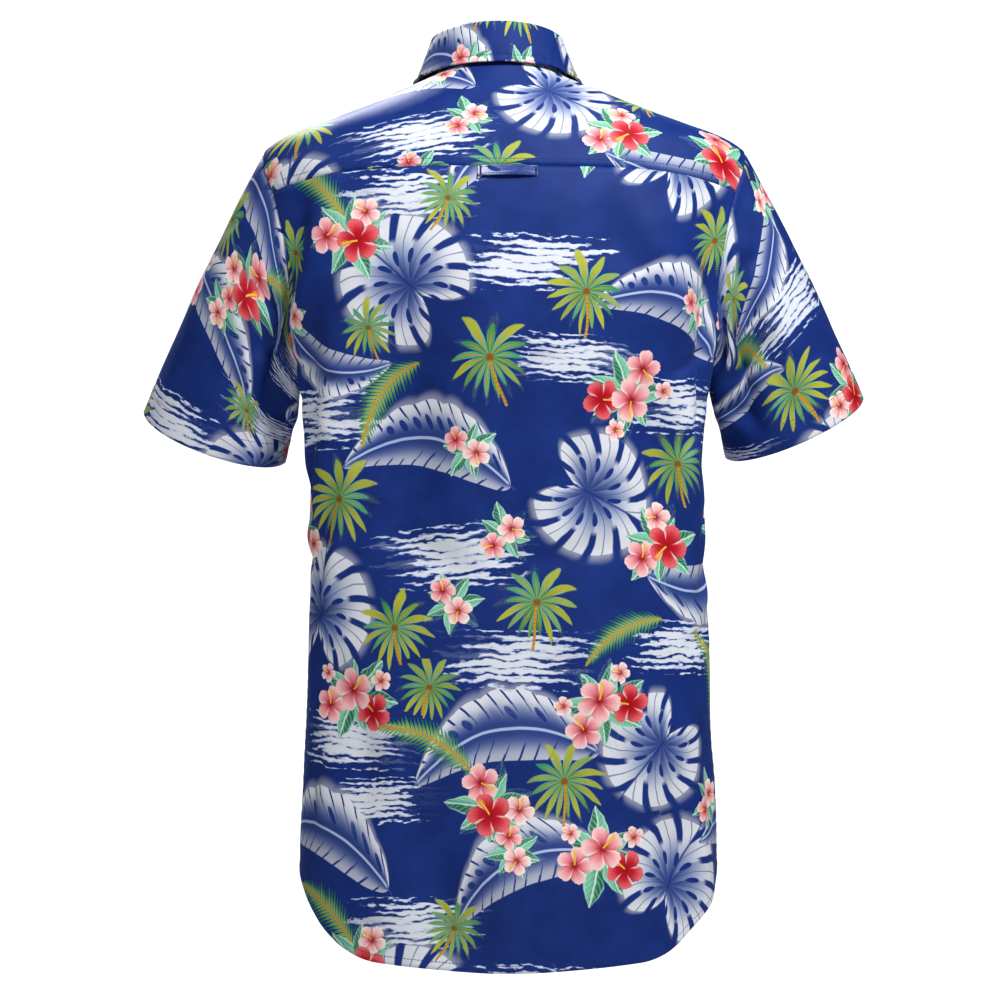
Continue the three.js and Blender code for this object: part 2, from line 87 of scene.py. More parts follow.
# Largest folds, as in the solids
FOLDS = [
    # where, angle_top, angle_foot, z_top, z_foot, half_width, out
    # back
    ("left trough", 24, 22, -165, -400, 24, -5),
    ("left ridge", 37, 66, -225, -420, 15, 4),
    ("left armhole valley", 57, 70, -75, -215, 10, -4),
    ("right armhole valley", -58, -69, -70, -215, 12, -4),
    ("right trough", -44, -50, -190, -420, 20, -4),
    ("right hip ridge", -52, -48, -430, -640, 22, 3),
    # front
    ("left trough", 126, 140, -180, -430, 22, -4),
    ("right trough", -130, -141, -170, -410, 24, -4),
]
FOLD_SHARPNESS = 1.9
FOLD_TAPER = 1.5

# Smaller creases on the body, each a soft trough along a bowed line with a ridge beside it
BODY_CREASES = [
    # where, angle_a, z_a, angle_b, z_b, bow, half_width, out
    # back
    ("left arm valley", 50, -62, 70, -200, 5, 14, -3.8),
    ("left blade ridge", 34, -90, 50, -240, 6, 14, 2.2),
    ("long trough left", 17, -150, 31, -440, -6, 24, -6.2),
    ("left side hollow", 54, -180, 72, -380, 5, 18, -4.6),
    ("right side hollow", -56, -150, -76, -350, -5, 20, -5.0),
    ("left flank swell", 90, -262, 92, -410, 0, 15, 1.1),
    ("right flank swell", -90, -262, -92, -390, 0, 14, 0.7),
    ("long ridge left", 26, -205, 64, -470, 5, 9, 2.9),
    ("right arm valley", -52, -66, -70, -250, -4, 16, -4.0),
    ("right blade ridge", -34, -96, -50, -232, -5, 14, 2.1),
    ("plate edge right", -34, -226, -46, -430, 5, 17, -4.2),
    ("plate edge middle", -3, -250, 2, -420, 3, 13, -1.9),
    ("hem swing left", 26, -580, 16, -760, 4, 24, -4.0),
    ("hem swing right", -48, -570, -54, -745, -4, 20, -3.8),
    ("tail roll", 40, -668, -46, -690, 9, 34, 1.8),
    ("hip swing left", 56, -470, 40, -640, 4, 20, -1.7),
    ("hip swing right", -14, -450, -20, -640, -5, 18, -2.2),
    ("waist fold right", -86, -392, -58, -440, 5, 9, -1.9),
    ("waist fold left", 88, -372, 66, -412, -5, 9, -1.9),
    ("left armpit drag", 76, -232, 38, -262, 7, 6, -1.5),
    ("left armpit drag, low", 80, -258, 46, -318, 9, 7, -1.6),
    ("left side pull", 84, -300, 62, -372, -6, 8, -1.4),
    ("right armpit drag", -75, -226, -40, -250, -6, 6, -1.5),
    ("right armpit drag, low", -80, -262, -44, -330, -9, 7, -1.7),
    ("right side pull", -84, -318, -64, -402, 5, 8, -1.5),
    ("blade fold left", 30, -92, 47, -160, 8, 11, -1.4),
    ("blade fold right", -24, -88, -37, -172, -7, 12, -1.3),
    ("small of the back left", 34, -380, 8, -428, 5, 13, -1.1),
    ("small of the back right", -6, -412, -38, -392, 6, 12, -0.9),
    ("middle plate", -12, -250, -16, -370, 4, 13, -1.3),
    ("waist drag left", 78, -430, 48, -452, -5, 8, -1.3),
    ("waist drag right", -80, -448, -52, -476, 6, 9, -1.3),
    ("hip fall left", 42, -500, 46, -650, 5, 14, -1.7),
    ("hip fall middle", 6, -520, 4, -680, -4, 16, -1.2),
    ("hip fall right", -30, -505, -28, -672, 5, 15, -1.6),
    ("tail dent left", 62, -560, 66, -640, -4, 10, -1.2),
    ("tail dent right", -66, -566, -70, -636, 4, 10, -1.2),
    # front
    ("left armpit drag", 104, -236, 132, -262, -6, 6, -1.5),
    ("left armpit drag, low", 100, -268, 128, -330, -8, 7, -1.5),
    ("left chest fall", 146, -150, 150, -250, 5, 12, -1.2),
    ("left waist drag", 102, -420, 136, -446, 6, 9, -1.3),
    ("left hip fall", 136, -500, 140, -660, -5, 14, -1.5),
    ("left button pull", 160, -285, 176, -279, 3, 6, -0.8),
    ("left button pull, low", 158, -448, 175, -455, -3, 6, -0.8),
    ("right armpit drag", -104, -232, -130, -256, 6, 6, -1.4),
    ("right armpit drag, low", -101, -272, -126, -338, 8, 7, -1.5),
    ("right chest fall", -143, -146, -149, -262, -5, 12, -1.2),
    ("right waist drag", -103, -436, -134, -458, -6, 9, -1.3),
    ("right hip fall", -133, -495, -138, -655, 5, 15, -1.5),
    ("right button pull", -158, -192, -172, -197, -3, 6, -0.8),
    ("right button pull, low", -157, -366, -173, -372, 3, 6, -0.8),
]

# Creases on a sleeve, by turn from the shoulder tip round the back and by share of its length
SLEEVE_CREASES = {
    1: [
        # turn_a, along_a, turn_b, along_b, bow, half_width, out
        (0.36, 0.02, 0.33, 0.92, 5, 26, -5.0),
        (0.20, 0.06, 0.20, 0.84, 4, 14, 1.6),
        (0.46, 0.09, 0.24, 0.08, 0, 11, -3.0),
        (0.36, 0.10, 0.14, 0.36, 8, 8, -1.9),
        (0.42, 0.22, 0.20, 0.62, -9, 9, -1.8),
        (0.47, 0.40, 0.30, 0.86, 6, 9, -1.6),
        (0.12, 0.04, 0.05, 0.30, 4, 7, -1.2),
        (0.25, 0.55, 0.22, 0.95, 5, 12, -1.4),
        (-0.38, 0.12, -0.16, 0.40, -8, 8, -1.8),
        (-0.44, 0.28, -0.24, 0.70, 8, 9, -1.7),
        (-0.10, 0.05, -0.04, 0.34, -4, 7, -1.1),
        (-0.20, 0.58, -0.17, 0.96, -5, 12, -1.3),
        (0.49, 0.62, -0.40, 0.92, 4, 8, -1.3),
    ],
    -1: [
        (0.37, 0.02, 0.33, 0.90, -5, 26, -5.2),
        (0.20, 0.08, 0.21, 0.86, -4, 14, 1.6),
        (0.46, 0.09, 0.25, 0.08, 0, 11, -3.0),
        (0.35, 0.08, 0.15, 0.32, -7, 8, -1.7),
        (0.43, 0.26, 0.19, 0.58, 9, 9, -1.9),
        (0.46, 0.46, 0.31, 0.90, -7, 9, -1.5),
        (0.11, 0.06, 0.07, 0.38, -4, 8, -1.2),
        (0.24, 0.50, 0.25, 0.93, -5, 12, -1.5),
        (-0.37, 0.10, -0.17, 0.44, 8, 8, -1.7),
        (-0.43, 0.32, -0.22, 0.66, -8, 9, -1.8),
        (-0.12, 0.04, -0.06, 0.30, 4, 7, -1.2),
        (-0.22, 0.54, -0.19, 0.97, 5, 12, -1.3),
        (0.48, 0.58, -0.42, 0.88, -4, 8, -1.4),
    ],
}
SLEEVE_ROUND = 420
SLEEVE_LENGTH = 225

# Depth of every crease against its table, its taper to the ends, and the ridge beside it
CREASE_GAIN = 2.4
CREASE_TAPER = 1.2
RIDGE_SHARE = 0.45
RIDGE_AT = 1.7
RIDGE_WIDTH = 0.9

# Slight unevenness of pressed cotton
WAVE_BANDS = [
    # how many, shortest, longest, height
    (9, 55, 150, 0.16),
    (10, 16, 34, 0.035),
]

CUFF_HALF_WIDTH = 66
CUFF_HALF_DEPTH = 67
CUFFS = {
    # side: middle, and turns of its plane in degrees: rise outwards, tilt down at the back
    1: ((254.5, -56, -295), 18.7, 16),
    -1: ((255.5, -54, -287), 23, 14),
}
SWELL_TOP = 4
SWELL_UNDER = -7

ARMHOLE_SPREAD = 25
YOKE_BACK_TURN = 6 / 36
YOKE_FRONT_TURN = -4 / 36

STAND_HEIGHT = {"back": 25.5, "side": 31, "front": 20}
STAND_LEAN = {"back": 8, "side": 12, "front": 8}
STAND_FOOT_GAP = 1.1
STAND_TUCK = 0.08
LEAF_HEIGHT = {"back": 31, "side": 35, "point": 64}
LEAF_FOLD_SHARE = 0.14
LEAF_FOLD_RADIUS = 2.8
LEAF_SPREAD = 27
LEAF_CLEAR = 1.1
LEAF_ARC_STEPS = 12
LEAF_REST_LEVELS = [12.84, 12.7, 12.4, 12.1, 11.8, 11.5, 11.2]
COLLAR_END = 176
PLACKET_HALF_WIDTH = 16
PLACKET_WALL = 1.3
LOOP_X = -3
LOOP_HALF_LENGTH = 25
LOOP_HEIGHT = 8
LOOP_WALL = 1.2
LOOP_SAG = 2.5
LOOP_DROP = 1
BUTTON_TOP_Z = -102
BUTTON_PITCH = 88
BUTTON_COUNT = 6

# Rows and columns of grids, and the band along a front's edge
YOKE_ROWS = 62
BAND_COLUMNS = 22
BAND_MARGIN = 8
BAND_WIDTH = 2 * LAP + BAND_MARGIN
BAND_STEP = 6.5
PLAIN_COLUMNS = int((HALF_PANEL - 20) / GRID)
STAND_GRID = (16, 191)
LEAF_GRID = (44, 231)
PLACKET_COLUMNS = 21
LOOP_GRID = (9, 49)
# Flat widths on the print: millimetres a degree of neck, half the leaf, and the yoke's lie
NECK_FLAT = 1.06
LEAF_FLAT_HALF = 235
YOKE_FLAT_WIDTH = 1.06
YOKE_FLAT_RISE = 0.85


def mix(a, b, t):
    return a + (b - a) * t


def smooth(t):
    t = np.clip(t, 0, 1)
    return t * t * (3 - 2 * t)


def bell(x):
    return np.exp(-x * x)


def unit(v):
    return v / np.linalg.norm(v, axis=-1, keepdims=True)


def vec(x, y, z):
    return np.stack(np.broadcast_arrays(x, y, z), axis=-1).astype(float)


def signed_degrees(angle):
    return (np.asarray(angle, float) + 180) % 360 - 180


def signed_turn(turn):
    return (turn + 0.5) % 1 - 0.5


# Length run along a line of points, from its start to each point
def run_of(points):
    return np.concatenate([[0], np.cumsum(np.linalg.norm(np.diff(points, axis=0), axis=-1))])


# Natural cubic splines through the rings' columns, all at once
ring_values = np.array([row[1:] for row in RINGS], float)


def ring_bends():
    last = len(ring_values) - 1
    system = np.eye(last + 1)
    right = np.zeros_like(ring_values)
    for i in range(1, last):
        system[i, i - 1:i + 2] = (1, 4, 1)
        right[i] = 6 * (ring_values[i + 1] - 2 * ring_values[i] + ring_values[i - 1])
    return np.linalg.solve(system, right)


RING_BENDS = ring_bends()


def ring_at(level):
    level = np.asarray(level, float)
    i = np.clip(np.floor(level).astype(int), 0, NECK_LEVEL - 1)
    b = (level - i)[..., None]
    a = 1 - b
    curve = ((a**3 - a) * RING_BENDS[i] + (b**3 - b) * RING_BENDS[i + 1]) / 6
    values = a * ring_values[i] + b * ring_values[i + 1] + curve
    return {name: values[..., k] for k, name in enumerate(RING_COLUMNS)}


def fold_out(angle, z):
    out = 0
    for _, angle_top, angle_foot, z_top, z_foot, half_width, depth in FOLDS:
        along = (z - z_top) / (z_foot - z_top)
        inside = np.clip(along, 0, 1)
        across = (angle - mix(angle_top, angle_foot, along)) / (half_width / FOLD_SHARPNESS)
        out = out + depth * np.sin(np.pi * inside) ** FOLD_TAPER * bell(across)
    return out


# Share of the slow fall of the hem, straight from the side seam and rounded at the centre
def slow_fall(share):
    to_centre = np.hypot(1 - share, TAIL_ROUND)
    return (np.hypot(1, TAIL_ROUND) - to_centre) / (np.hypot(1, TAIL_ROUND) - TAIL_ROUND)


# Point of the body's outer face as in the solids. The angle is 0 at the centre back.
def body_form(angle, level):
    ring = ring_at(level)
    turn = signed_degrees(angle)
    sine = np.sin(np.radians(turn))
    cosine = np.cos(np.radians(turn))
    square = ring["square"]
    reach = (np.abs(sine) ** square + np.abs(cosine) ** square) ** (-1 / square)
    at_back = cosine > 0
    depth = np.where(at_back, ring["y_back"] - ring["y_side"], ring["y_side"] - ring["y_front"])
    middle_z = np.where(at_back, ring["z_back"], ring["z_front"])
    spread = np.where(at_back, PINCH_SPREAD_BACK, PINCH_SPREAD_FRONT)
    off_side = np.abs(np.abs(turn) - 90)
    draw_in = ring["pinch"] * bell(off_side / spread)
    from_side = off_side / 90 * HALF_PANEL
    drop = TAIL_STEEP_SHARE * smooth(from_side / TAIL_RISE)
    drop = drop + (1 - TAIL_STEEP_SHARE) * slow_fall(from_side / HALF_PANEL)
    z = mix(ring["z_side"], middle_z, 1 - np.abs(sine) ** ring["hold"]) - ring["tail"] * drop
    out = fold_out(turn, z)
    x = ring["sway"] + (ring["half_width"] + out) * reach * sine - np.sign(sine) * draw_in
    y = ring["y_side"] + (depth + out) * reach * cosine
    return vec(x, y, z)


# Outward normal of a surface of two parameters, for rows that run along the first one
def normal_of(surface, first, second, step_first, step_second):
    along_first = surface(first + step_first, second) - surface(first - step_first, second)
    along_second = surface(first, second + step_second) - surface(first, second - step_second)
    return unit(np.cross(along_first, along_second))


def body_normal(angle, level):
    inside = np.clip(level, 0.01, NECK_LEVEL - 0.01)
    return normal_of(lambda a, b: body_form(b, a), inside, np.asarray(angle, float), 0.01, 0.1)


# Height at the point (u, v) of a trough along a bowed line from (0, 0) to (end_u, end_v), with a
# lower ridge on one side
def crease(u, v, end_u, end_v, bow, half_width, out):
    length = np.hypot(end_u, end_v)
    inside = np.clip((u * end_u + v * end_v) / length**2, 0, 1)
    across = (u * end_v - v * end_u) / length
    q = (across - bow * 4 * inside * (1 - inside)) / half_width
    profile = bell(q) - RIDGE_SHARE * bell((q - RIDGE_AT) / RIDGE_WIDTH)
    return CREASE_GAIN * out * np.sin(np.pi * inside) ** CREASE_TAPER * profile


rng = np.random.default_rng(SEED)
WAVES = [
    (rng.uniform(shortest, longest), rng.uniform(0, TAU), rng.uniform(0, np.pi), height)
    for count, shortest, longest, height in WAVE_BANDS
    for _ in range(count)
]


def waves(u, v):
    out = 0
    for length, phase, turn, height in WAVES:
        across = u * np.cos(turn) + v * np.sin(turn)
        out = out + height * np.sin(TAU * across / length + phase)
    return out


# Creases of the body. They fade towards the neck and under the front band.
def body_relief(angle, level):
    turn = signed_degrees(angle)
    z = body_form(turn, level)[..., 2]
    u = turn * MM_PER_DEGREE
    out = 0
    for _, angle_a, z_a, angle_b, z_b, *shape in BODY_CREASES:
        end_u = (angle_b - angle_a) * MM_PER_DEGREE
        out = out + crease(u - angle_a * MM_PER_DEGREE, z - z_a, end_u, z_b - z_a, *shape)
    calm_neck = smooth((NECK_LEVEL - 0.9 - level) / 1.6)
    calm_front = 1 - 0.7 * bell((np.abs(turn) - 180) / 12)
    return (out + waves(u, z)) * calm_neck * calm_front


def body_cloth(angle, level):
    angle, level = np.broadcast_arrays(np.asarray(angle, float), np.asarray(level, float))
    normal = body_normal(angle, level)
    return body_form(angle, level) + normal * body_relief(angle, level)[..., None], normal


def armhole_place(turn):
    phase = TAU * turn
    middle = (TIP_LEVEL + ARMPIT_LEVEL) / 2
    return 90 - ARMHOLE_SPREAD * np.sin(phase), middle + (TIP_LEVEL - middle) * np.cos(phase)


# Point of a sleeve's outer face, from the armhole (0) to the hem (1)
def sleeve_form(side, along, turn, start_of=body_form):
    phase = TAU * turn
    angle, level = armhole_place(turn)
    start = start_of(side * angle, level) * (side, 1, 1)
    middle, *turns = CUFFS[side]
    rise, tilt = np.radians(turns)
    across = np.array([np.cos(rise), 0, np.sin(rise)])
    back = np.array([0, np.cos(tilt), -np.sin(tilt)])
    outward = across * np.cos(phase)[..., None] + back * np.sin(phase)[..., None]
    end = middle + across * (CUFF_HALF_WIDTH * np.cos(phase))[..., None]
    end = end + back * (CUFF_HALF_DEPTH * np.sin(phase))[..., None]
    top_share = 0.5 + 0.5 * np.cos(phase)
    swell = SWELL_TOP * top_share * np.sin(np.pi * along)
    swell = swell + SWELL_UNDER * (1 - top_share) ** 2 * np.sin(np.pi * np.sqrt(along))
    along = along[..., None]
    return (start * (1 - along) + end * along + outward * swell[..., None]) * (side, 1, 1)


# Creases of a sleeve. They fade at the armhole, and each sleeve has waves of its own.
def sleeve_relief(side, along, turn):
    out = 0
    down = along * SLEEVE_LENGTH
    for turn_a, along_a, turn_b, along_b, *shape in SLEEVE_CREASES[side]:
        u = signed_turn(turn - turn_a) * SLEEVE_ROUND
        end_u = signed_turn(turn_b - turn_a) * SLEEVE_ROUND
        v = (along - along_a) * SLEEVE_LENGTH
        out = out + crease(u, v, end_u, (along_b - along_a) * SLEEVE_LENGTH, *shape)
    around = np.sin(TAU * turn) * SLEEVE_ROUND / 6
    over = np.cos(TAU * turn) * SLEEVE_ROUND / 6
    uneven = waves(around + 400 * side, down) + waves(over, down + 90)
    return (out + 0.6 * uneven) * smooth(along / 0.06)


def sleeve_cloth(side, along, turn):
    inside = np.clip(along, 0.003, 0.997)
    normal = normal_of(lambda a, b: sleeve_form(side, a, b), inside, turn, 0.002, 0.001) * side
    point = sleeve_form(side, along, turn, lambda *place: body_cloth(*place)[0])
    return point + normal * sleeve_relief(side, along, turn)[..., None], normal


NECK = dict(zip(RING_COLUMNS, ring_values[NECK_LEVEL]))


def from_neck_middle(point):
    return unit(vec(point[..., 0] - NECK["sway"], point[..., 1] - NECK["y_side"], 0))


# A size of the collar that runs from the centre back over the side to the front
def round_collar(sizes, angle):
    off = np.abs(angle)
    back_to_side = mix(sizes["back"], sizes["side"], smooth(off / 75))
    return mix(back_to_side, sizes["front"], smooth((off - 100) / 70))


# Outer face of the collar stand, whose right end steps in under the left one
def stand_form(angle, up):
    foot = body_form(angle, np.full(np.shape(angle), float(NECK_LEVEL)))
    outward = from_neck_middle(foot)
    height = round_collar(STAND_HEIGHT, angle)
    lean = round_collar(STAND_LEAN, angle)
    under = np.where(angle < 0, smooth((np.abs(angle) - 150) / 12) * (WALL + LAYER_GAP), 0)
    foot[..., 2] += STAND_FOOT_GAP + up * height
    return foot + outward * (1 - lean * up - under)[..., None]


def stand_cloth(angle, up):
    inside = np.clip(up, 0.01, 0.99)
    normal = normal_of(lambda a, b: stand_form(b, a), inside, angle, 0.01, 0.5)
    return stand_form(angle, up), normal


# The collar leaf's inner face along its fall: up from the stand, over the fold and down outside
def leaf_path(angle):
    top = stand_form(angle, np.ones(np.shape(angle)))
    outward = from_neck_middle(top)
    up = np.array([0, 0, 1.0])
    path = [top + up * LAYER_GAP]
    rise = LAYER_GAP + LEAF_FOLD_RADIUS * 0.6
    for i in range(LEAF_ARC_STEPS + 1):
        turn = np.pi * i / LEAF_ARC_STEPS
        out = LEAF_FOLD_RADIUS * (1 - np.cos(turn))
        path.append(top + outward * out + up * (rise + LEAF_FOLD_RADIUS * np.sin(turn)))
    for level in LEAF_REST_LEVELS:
        at = np.full(np.shape(angle), float(level))
        path.append(body_form(angle, at) + body_normal(angle, at) * (WALL + LEAF_CLEAR))
    return np.array(path)


def along_path(path, distance):
    steps = np.linalg.norm(np.diff(path, axis=0), axis=-1)
    ends = np.cumsum(steps, axis=0)
    point = path[-1].copy()
    for i in reversed(range(len(steps))):
        start = ends[i] - steps[i]
        share = ((distance - start) / steps[i])[..., None]
        here = path[i] + (path[i + 1] - path[i]) * share
        reached = (distance <= ends[i]) | (i == len(steps) - 1)
        point = np.where(reached[..., None], here, point)
    return point


# Inner face of the collar leaf, which grows from the centre back to its points
def leaf_form(down, across):
    side_share = smooth(np.abs(across) / 0.5)
    end_share = np.maximum(0, 2 * np.abs(across) - 1) ** 1.4
    height = mix(LEAF_HEIGHT["back"], LEAF_HEIGHT["side"], side_share)
    height = mix(height, LEAF_HEIGHT["point"], end_share) + LEAF_FOLD_RADIUS * 4
    below_fold = np.maximum(0, down - LEAF_FOLD_SHARE) / (1 - LEAF_FOLD_SHARE)
    end_angle = COLLAR_END - LEAF_SPREAD * below_fold
    return along_path(leaf_path(across * end_angle), down * height)


# Angle at a distance past the centre front
def past_centre(distance, level):
    return 180 + np.degrees(np.arcsin(distance / ring_at(level)["half_width"]))


# Lengths along a grid's rows and columns, from the edges inwards
def run_lengths(points, axis):
    steps = np.linalg.norm(np.diff(points, axis=axis), axis=-1)
    pad = [(0, 0), (0, 0)]
    pad[axis] = (1, 0)
    from_start = np.pad(np.cumsum(steps, axis=axis), pad)
    total = from_start[-1:, :] if axis == 0 else from_start[:, -1:]
    return from_start, total - from_start


HEM_STITCH = 6.2
CUFF_STITCH = 21.5
SEAM_STITCH = 6.0
EDGE_STITCH = 5.0
# Cloth is pressed in along its stitching, stands proud where it is folded double, and rolls in
# at a seam
EDGE_KINDS = {
    # fold_width, fold_out, stitch_at, seam_roll
    "hem": (7.5, 0.45, HEM_STITCH, 0),
    "cuff": (23, 0.4, CUFF_STITCH, 0),
    "seam": (3.5, 0.15, None, 1.1),
    "stitched seam": (7.5, 0.35, SEAM_STITCH, 1.1),
    "armhole": (5, 0.3, None, 1.3),
    "edge": (5, 0.1, EDGE_STITCH, 0),
    "free": (1, 0, None, 0),
}
DOUBLE_FROM = 0.3
DOUBLE_THICKER = 0.9
STITCH_DEPTH = 0.32
STITCH_PUCKER = 0.14
SEAM_PUCKER = 0.16
PUCKER_PITCH = 9.5


def edge_relief(kind, distance, run):
    fold_width, fold_out, stitch_at, roll = EDGE_KINDS[kind]
    out = fold_out * (1 - smooth((distance - fold_width) / 1.5 + 0.5))
    out = out - roll * bell(distance / 1.3)
    pucker = np.sin(TAU * run / PUCKER_PITCH + 2.1 * np.sin(run / 23) + 1.3 * np.sin(run / 61))
    if stitch_at is not None:
        out = out - STITCH_DEPTH * bell((distance - stitch_at) / 1.1)
        out = out + STITCH_PUCKER * pucker * bell((distance - stitch_at) / 5)
    if roll:
        out = out + SEAM_PUCKER * pucker * bell((distance - 3) / 4)
    return out


class Panel:
    """A fine grid of cloth: rows by columns of points, outward normals and flat coordinates."""

    def __init__(self, name, node, points, normals, flat, wraps=False, thick=CLOTH):
        self.name, self.node = name, node
        self.points, self.normals, self.flat = points, normals, flat
        self.wraps = wraps
        self.thick = np.full(points.shape[:2], float(thick))

    # Edges are named by side: foot and head are the first and last rows, start and end the columns
    def finish_edges(self, **kinds):
        base = self.points
        by_row = dict(zip(("foot", "head"), run_lengths(base, 0)))
        by_column = dict(zip(("start", "end"), run_lengths(base, 1)))
        self.distance = {**by_row, **by_column}
        relief = np.zeros(base.shape[:2])
        for side, kind in kinds.items():
            distance = self.distance[side]
            run = by_column["start"] if side in by_row else by_row["foot"]
            for name, weight in kind if isinstance(kind, list) else [(kind, 1)]:
                relief = relief + edge_relief(name, distance, run) * weight
                fold_width, fold_out, _, _ = EDGE_KINDS[name]
                if fold_out >= DOUBLE_FROM:
                    layers = 1 - smooth((distance - fold_width) / 0.8 + 0.5)
                    doubled = CLOTH + DOUBLE_THICKER * layers * weight
                    self.thick = np.maximum(self.thick, doubled)
        self.points = base + self.normals * relief[..., None]
        return self


def to_mesh(name, vertices, faces, materials, corner_flat=None):
    mesh = bpy.data.meshes.new(name)
    faces = np.asarray(faces, np.int32)
    mesh.vertices.add(len(vertices))
    mesh.vertices.foreach_set("co", (np.asarray(vertices) * MM).astype(np.float32).ravel())
    mesh.loops.add(faces.size)
    mesh.loops.foreach_set("vertex_index", faces.ravel())
    mesh.polygons.add(len(faces))
    starts = np.arange(len(faces), dtype=np.int32) * faces.shape[1]
    mesh.polygons.foreach_set("loop_start", starts)
    mesh.polygons.foreach_set("use_smooth", np.ones(len(faces), bool))
    mesh.update(calc_edges=True)
    mesh.validate()
    for material in materials:
        mesh.materials.append(material)
    if corner_flat is not None:
        layer = mesh.uv_layers.new(name="flat")
        layer.uv.foreach_set("vector", (corner_flat * MM).astype(np.float32).ravel())
    made = bpy.data.objects.new(name, mesh)
    bpy.context.scene.collection.objects.link(made)
    return made


# Closed shell of a panel: outer face, inner face and a rounded rim
def shell(panel, material):
    points, normals, wraps = panel.points, panel.normals, panel.wraps
    rows, columns = points.shape[:2]
    count = rows * columns
    inner = points - normals * panel.thick[..., None]
    spans = columns if wraps else columns - 1
    i, j = np.meshgrid(np.arange(rows - 1), np.arange(spans), indexing="ij")
    a = i * columns + j
    b = i * columns + (j + 1) % columns
    outer_faces = np.stack([a, b, b + columns, a + columns], -1).reshape(-1, 4)
    flat = panel.flat
    corner = np.stack([flat[i, j], flat[i, j + 1], flat[i + 1, j + 1], flat[i + 1, j]], 2)
    corner = corner.reshape(-1, 4, 2)
    facing = np.cross(points[1, 1] - points[1, 0], points[2, 0] - points[1, 0])
    flip = np.dot(facing, normals[1, 0]) < 0
    turned = [0, 3, 2, 1]
    inner_faces = outer_faces[:, turned] + count
    inner_corner = corner[:, turned]
    rim_points, rim_faces, rim_corner = [], [], []
    made = 2 * count
    flat_points = points.reshape(-1, 3)
    flat_inner = inner.reshape(-1, 3)
    for loop, inwards, flat_at in rim_loops(rows, columns, wraps):
        out = unit(flat_points[loop] - flat_points[inwards])
        half = np.linalg.norm(flat_points[loop] - flat_inner[loop], axis=-1, keepdims=True) / 2
        middle = (flat_points[loop] + flat_inner[loop]) / 2 + out * half * 0.8
        rim_points.append(middle)
        size = len(loop)
        k = np.arange(size)
        n = (k + 1) % size
        rim_faces.append(np.stack([loop[k], made + k, made + n, loop[n]], -1))
        rim_faces.append(np.stack([made + k, loop[k] + count, loop[n] + count, made + n], -1))
        uv = np.array([flat[p] for p in flat_at])
        pair = np.stack([uv[k], uv[k], uv[k + 1], uv[k + 1]], 1)
        rim_corner += [pair, pair]
        made += size
    vertices = np.concatenate([flat_points, flat_inner, *rim_points])
    faces = np.concatenate([outer_faces, inner_faces, *rim_faces])
    corner_flat = np.concatenate([corner, inner_corner, *rim_corner])
    inside = np.zeros(len(faces))
    inside[len(outer_faces):2 * len(outer_faces)] = 1
    if flip:
        faces = faces[:, turned]
        corner_flat = corner_flat[:, turned]
    made_object = to_mesh(panel.name, vertices, faces, [material], corner_flat)
    return made_object, corner_flat, inside


# The boundary vertices in order, their inner neighbours and their places in the flat grid
def rim_loops(rows, columns, wraps):
    at = np.arange(rows * columns).reshape(rows, columns)
    if wraps:
        span = list(range(columns))
        foot = (at[0], at[1], [(0, j) for j in span + [columns]])
        head = (at[-1][::-1], at[-2][::-1], [(rows - 1, j) for j in [columns] + span[::-1]])
        return [foot, head]
    path = [(0, j) for j in range(columns)]
    path += [(i, columns - 1) for i in range(1, rows)]
    path += [(rows - 1, j) for j in range(columns - 2, -1, -1)]
    path += [(i, 0) for i in range(rows - 2, 0, -1)]
    inwards = [(min(max(i, 1), rows - 2), min(max(j, 1), columns - 2)) for i, j in path]
    loop = np.array([at[p] for p in path])
    return [(loop, np.array([at[p] for p in inwards]), path + path[:1])]


# Numbers from first to last, at which a curve of them has points spaced evenly
def even_steps(first, last, curve):
    t = np.linspace(0, 1, 400)
    run = run_of(curve(mix(first, last, t)))
    count = int(np.ceil(run[-1] / GRID)) + 1
    return mix(first, last, np.interp(np.linspace(0, run[-1], count), run, t))


def armhole_turns(first, last):
    return even_steps(first, last, lambda turn: body_form(*armhole_place(turn)))


# Rows up a panel's side, from the hem to the armpit and up the armhole to a turn of it
def side_rows(last_turn):
    levels = even_steps(0, ARMPIT_LEVEL, lambda level: body_form(40.0, level))
    arm_angles, arm_levels = armhole_place(armhole_turns(0.5, last_turn)[1:])
    angles = np.concatenate([np.full(levels.shape, 90.0), arm_angles])
    return angles, np.concatenate([levels, arm_levels]), len(levels)


# Width across from the centre, at the rows' own height
def flat_across(points, centre):
    steps = np.hypot(*np.moveaxis(np.diff(points, axis=1)[..., :2], -1, 0))
    run = np.pad(np.cumsum(steps, axis=1), [(0, 0), (1, 0)])
    return run - run[:, centre:centre + 1]


# Moves the edges at rows and columns 0 or -1 inwards by a gap
def trim(points, gap, rows=(), columns=()):
    inner = {0: 1, -1: -2}
    for edge in rows:
        points[edge] += unit(points[inner[edge]] - points[edge]) * gap
    for edge in columns:
        points[:, edge] += unit(points[:, inner[edge]] - points[:, edge]) * gap


# Edge kinds up a side: the side seam, but the armhole from the first row to the last
def side_kinds(count, first, last):
    on_arm = np.zeros((count, 1))
    on_arm[first:last] = 1
    return [("seam", 1 - on_arm), ("armhole", on_arm)]


def back_panel():
    edge_angles, row_levels, armpit = side_rows(YOKE_BACK_TURN)
    columns = 2 * int(HALF_PANEL / GRID) + 1
    across = np.linspace(-1, 1, columns)
    points, normals = body_cloth(edge_angles[:, None] * across, row_levels[:, None])
    centre = columns // 2
    flat = np.stack([flat_across(points, centre), points[..., 2]], -1)
    trim(points, SEAM_GAP, rows=[-1], columns=[0, -1])
    sides = side_kinds(len(row_levels), armpit, len(row_levels))
    panel = Panel("cloth_back", "back", points, normals, flat)
    return panel.finish_edges(foot="hem", head="seam", start=sides, end=sides)


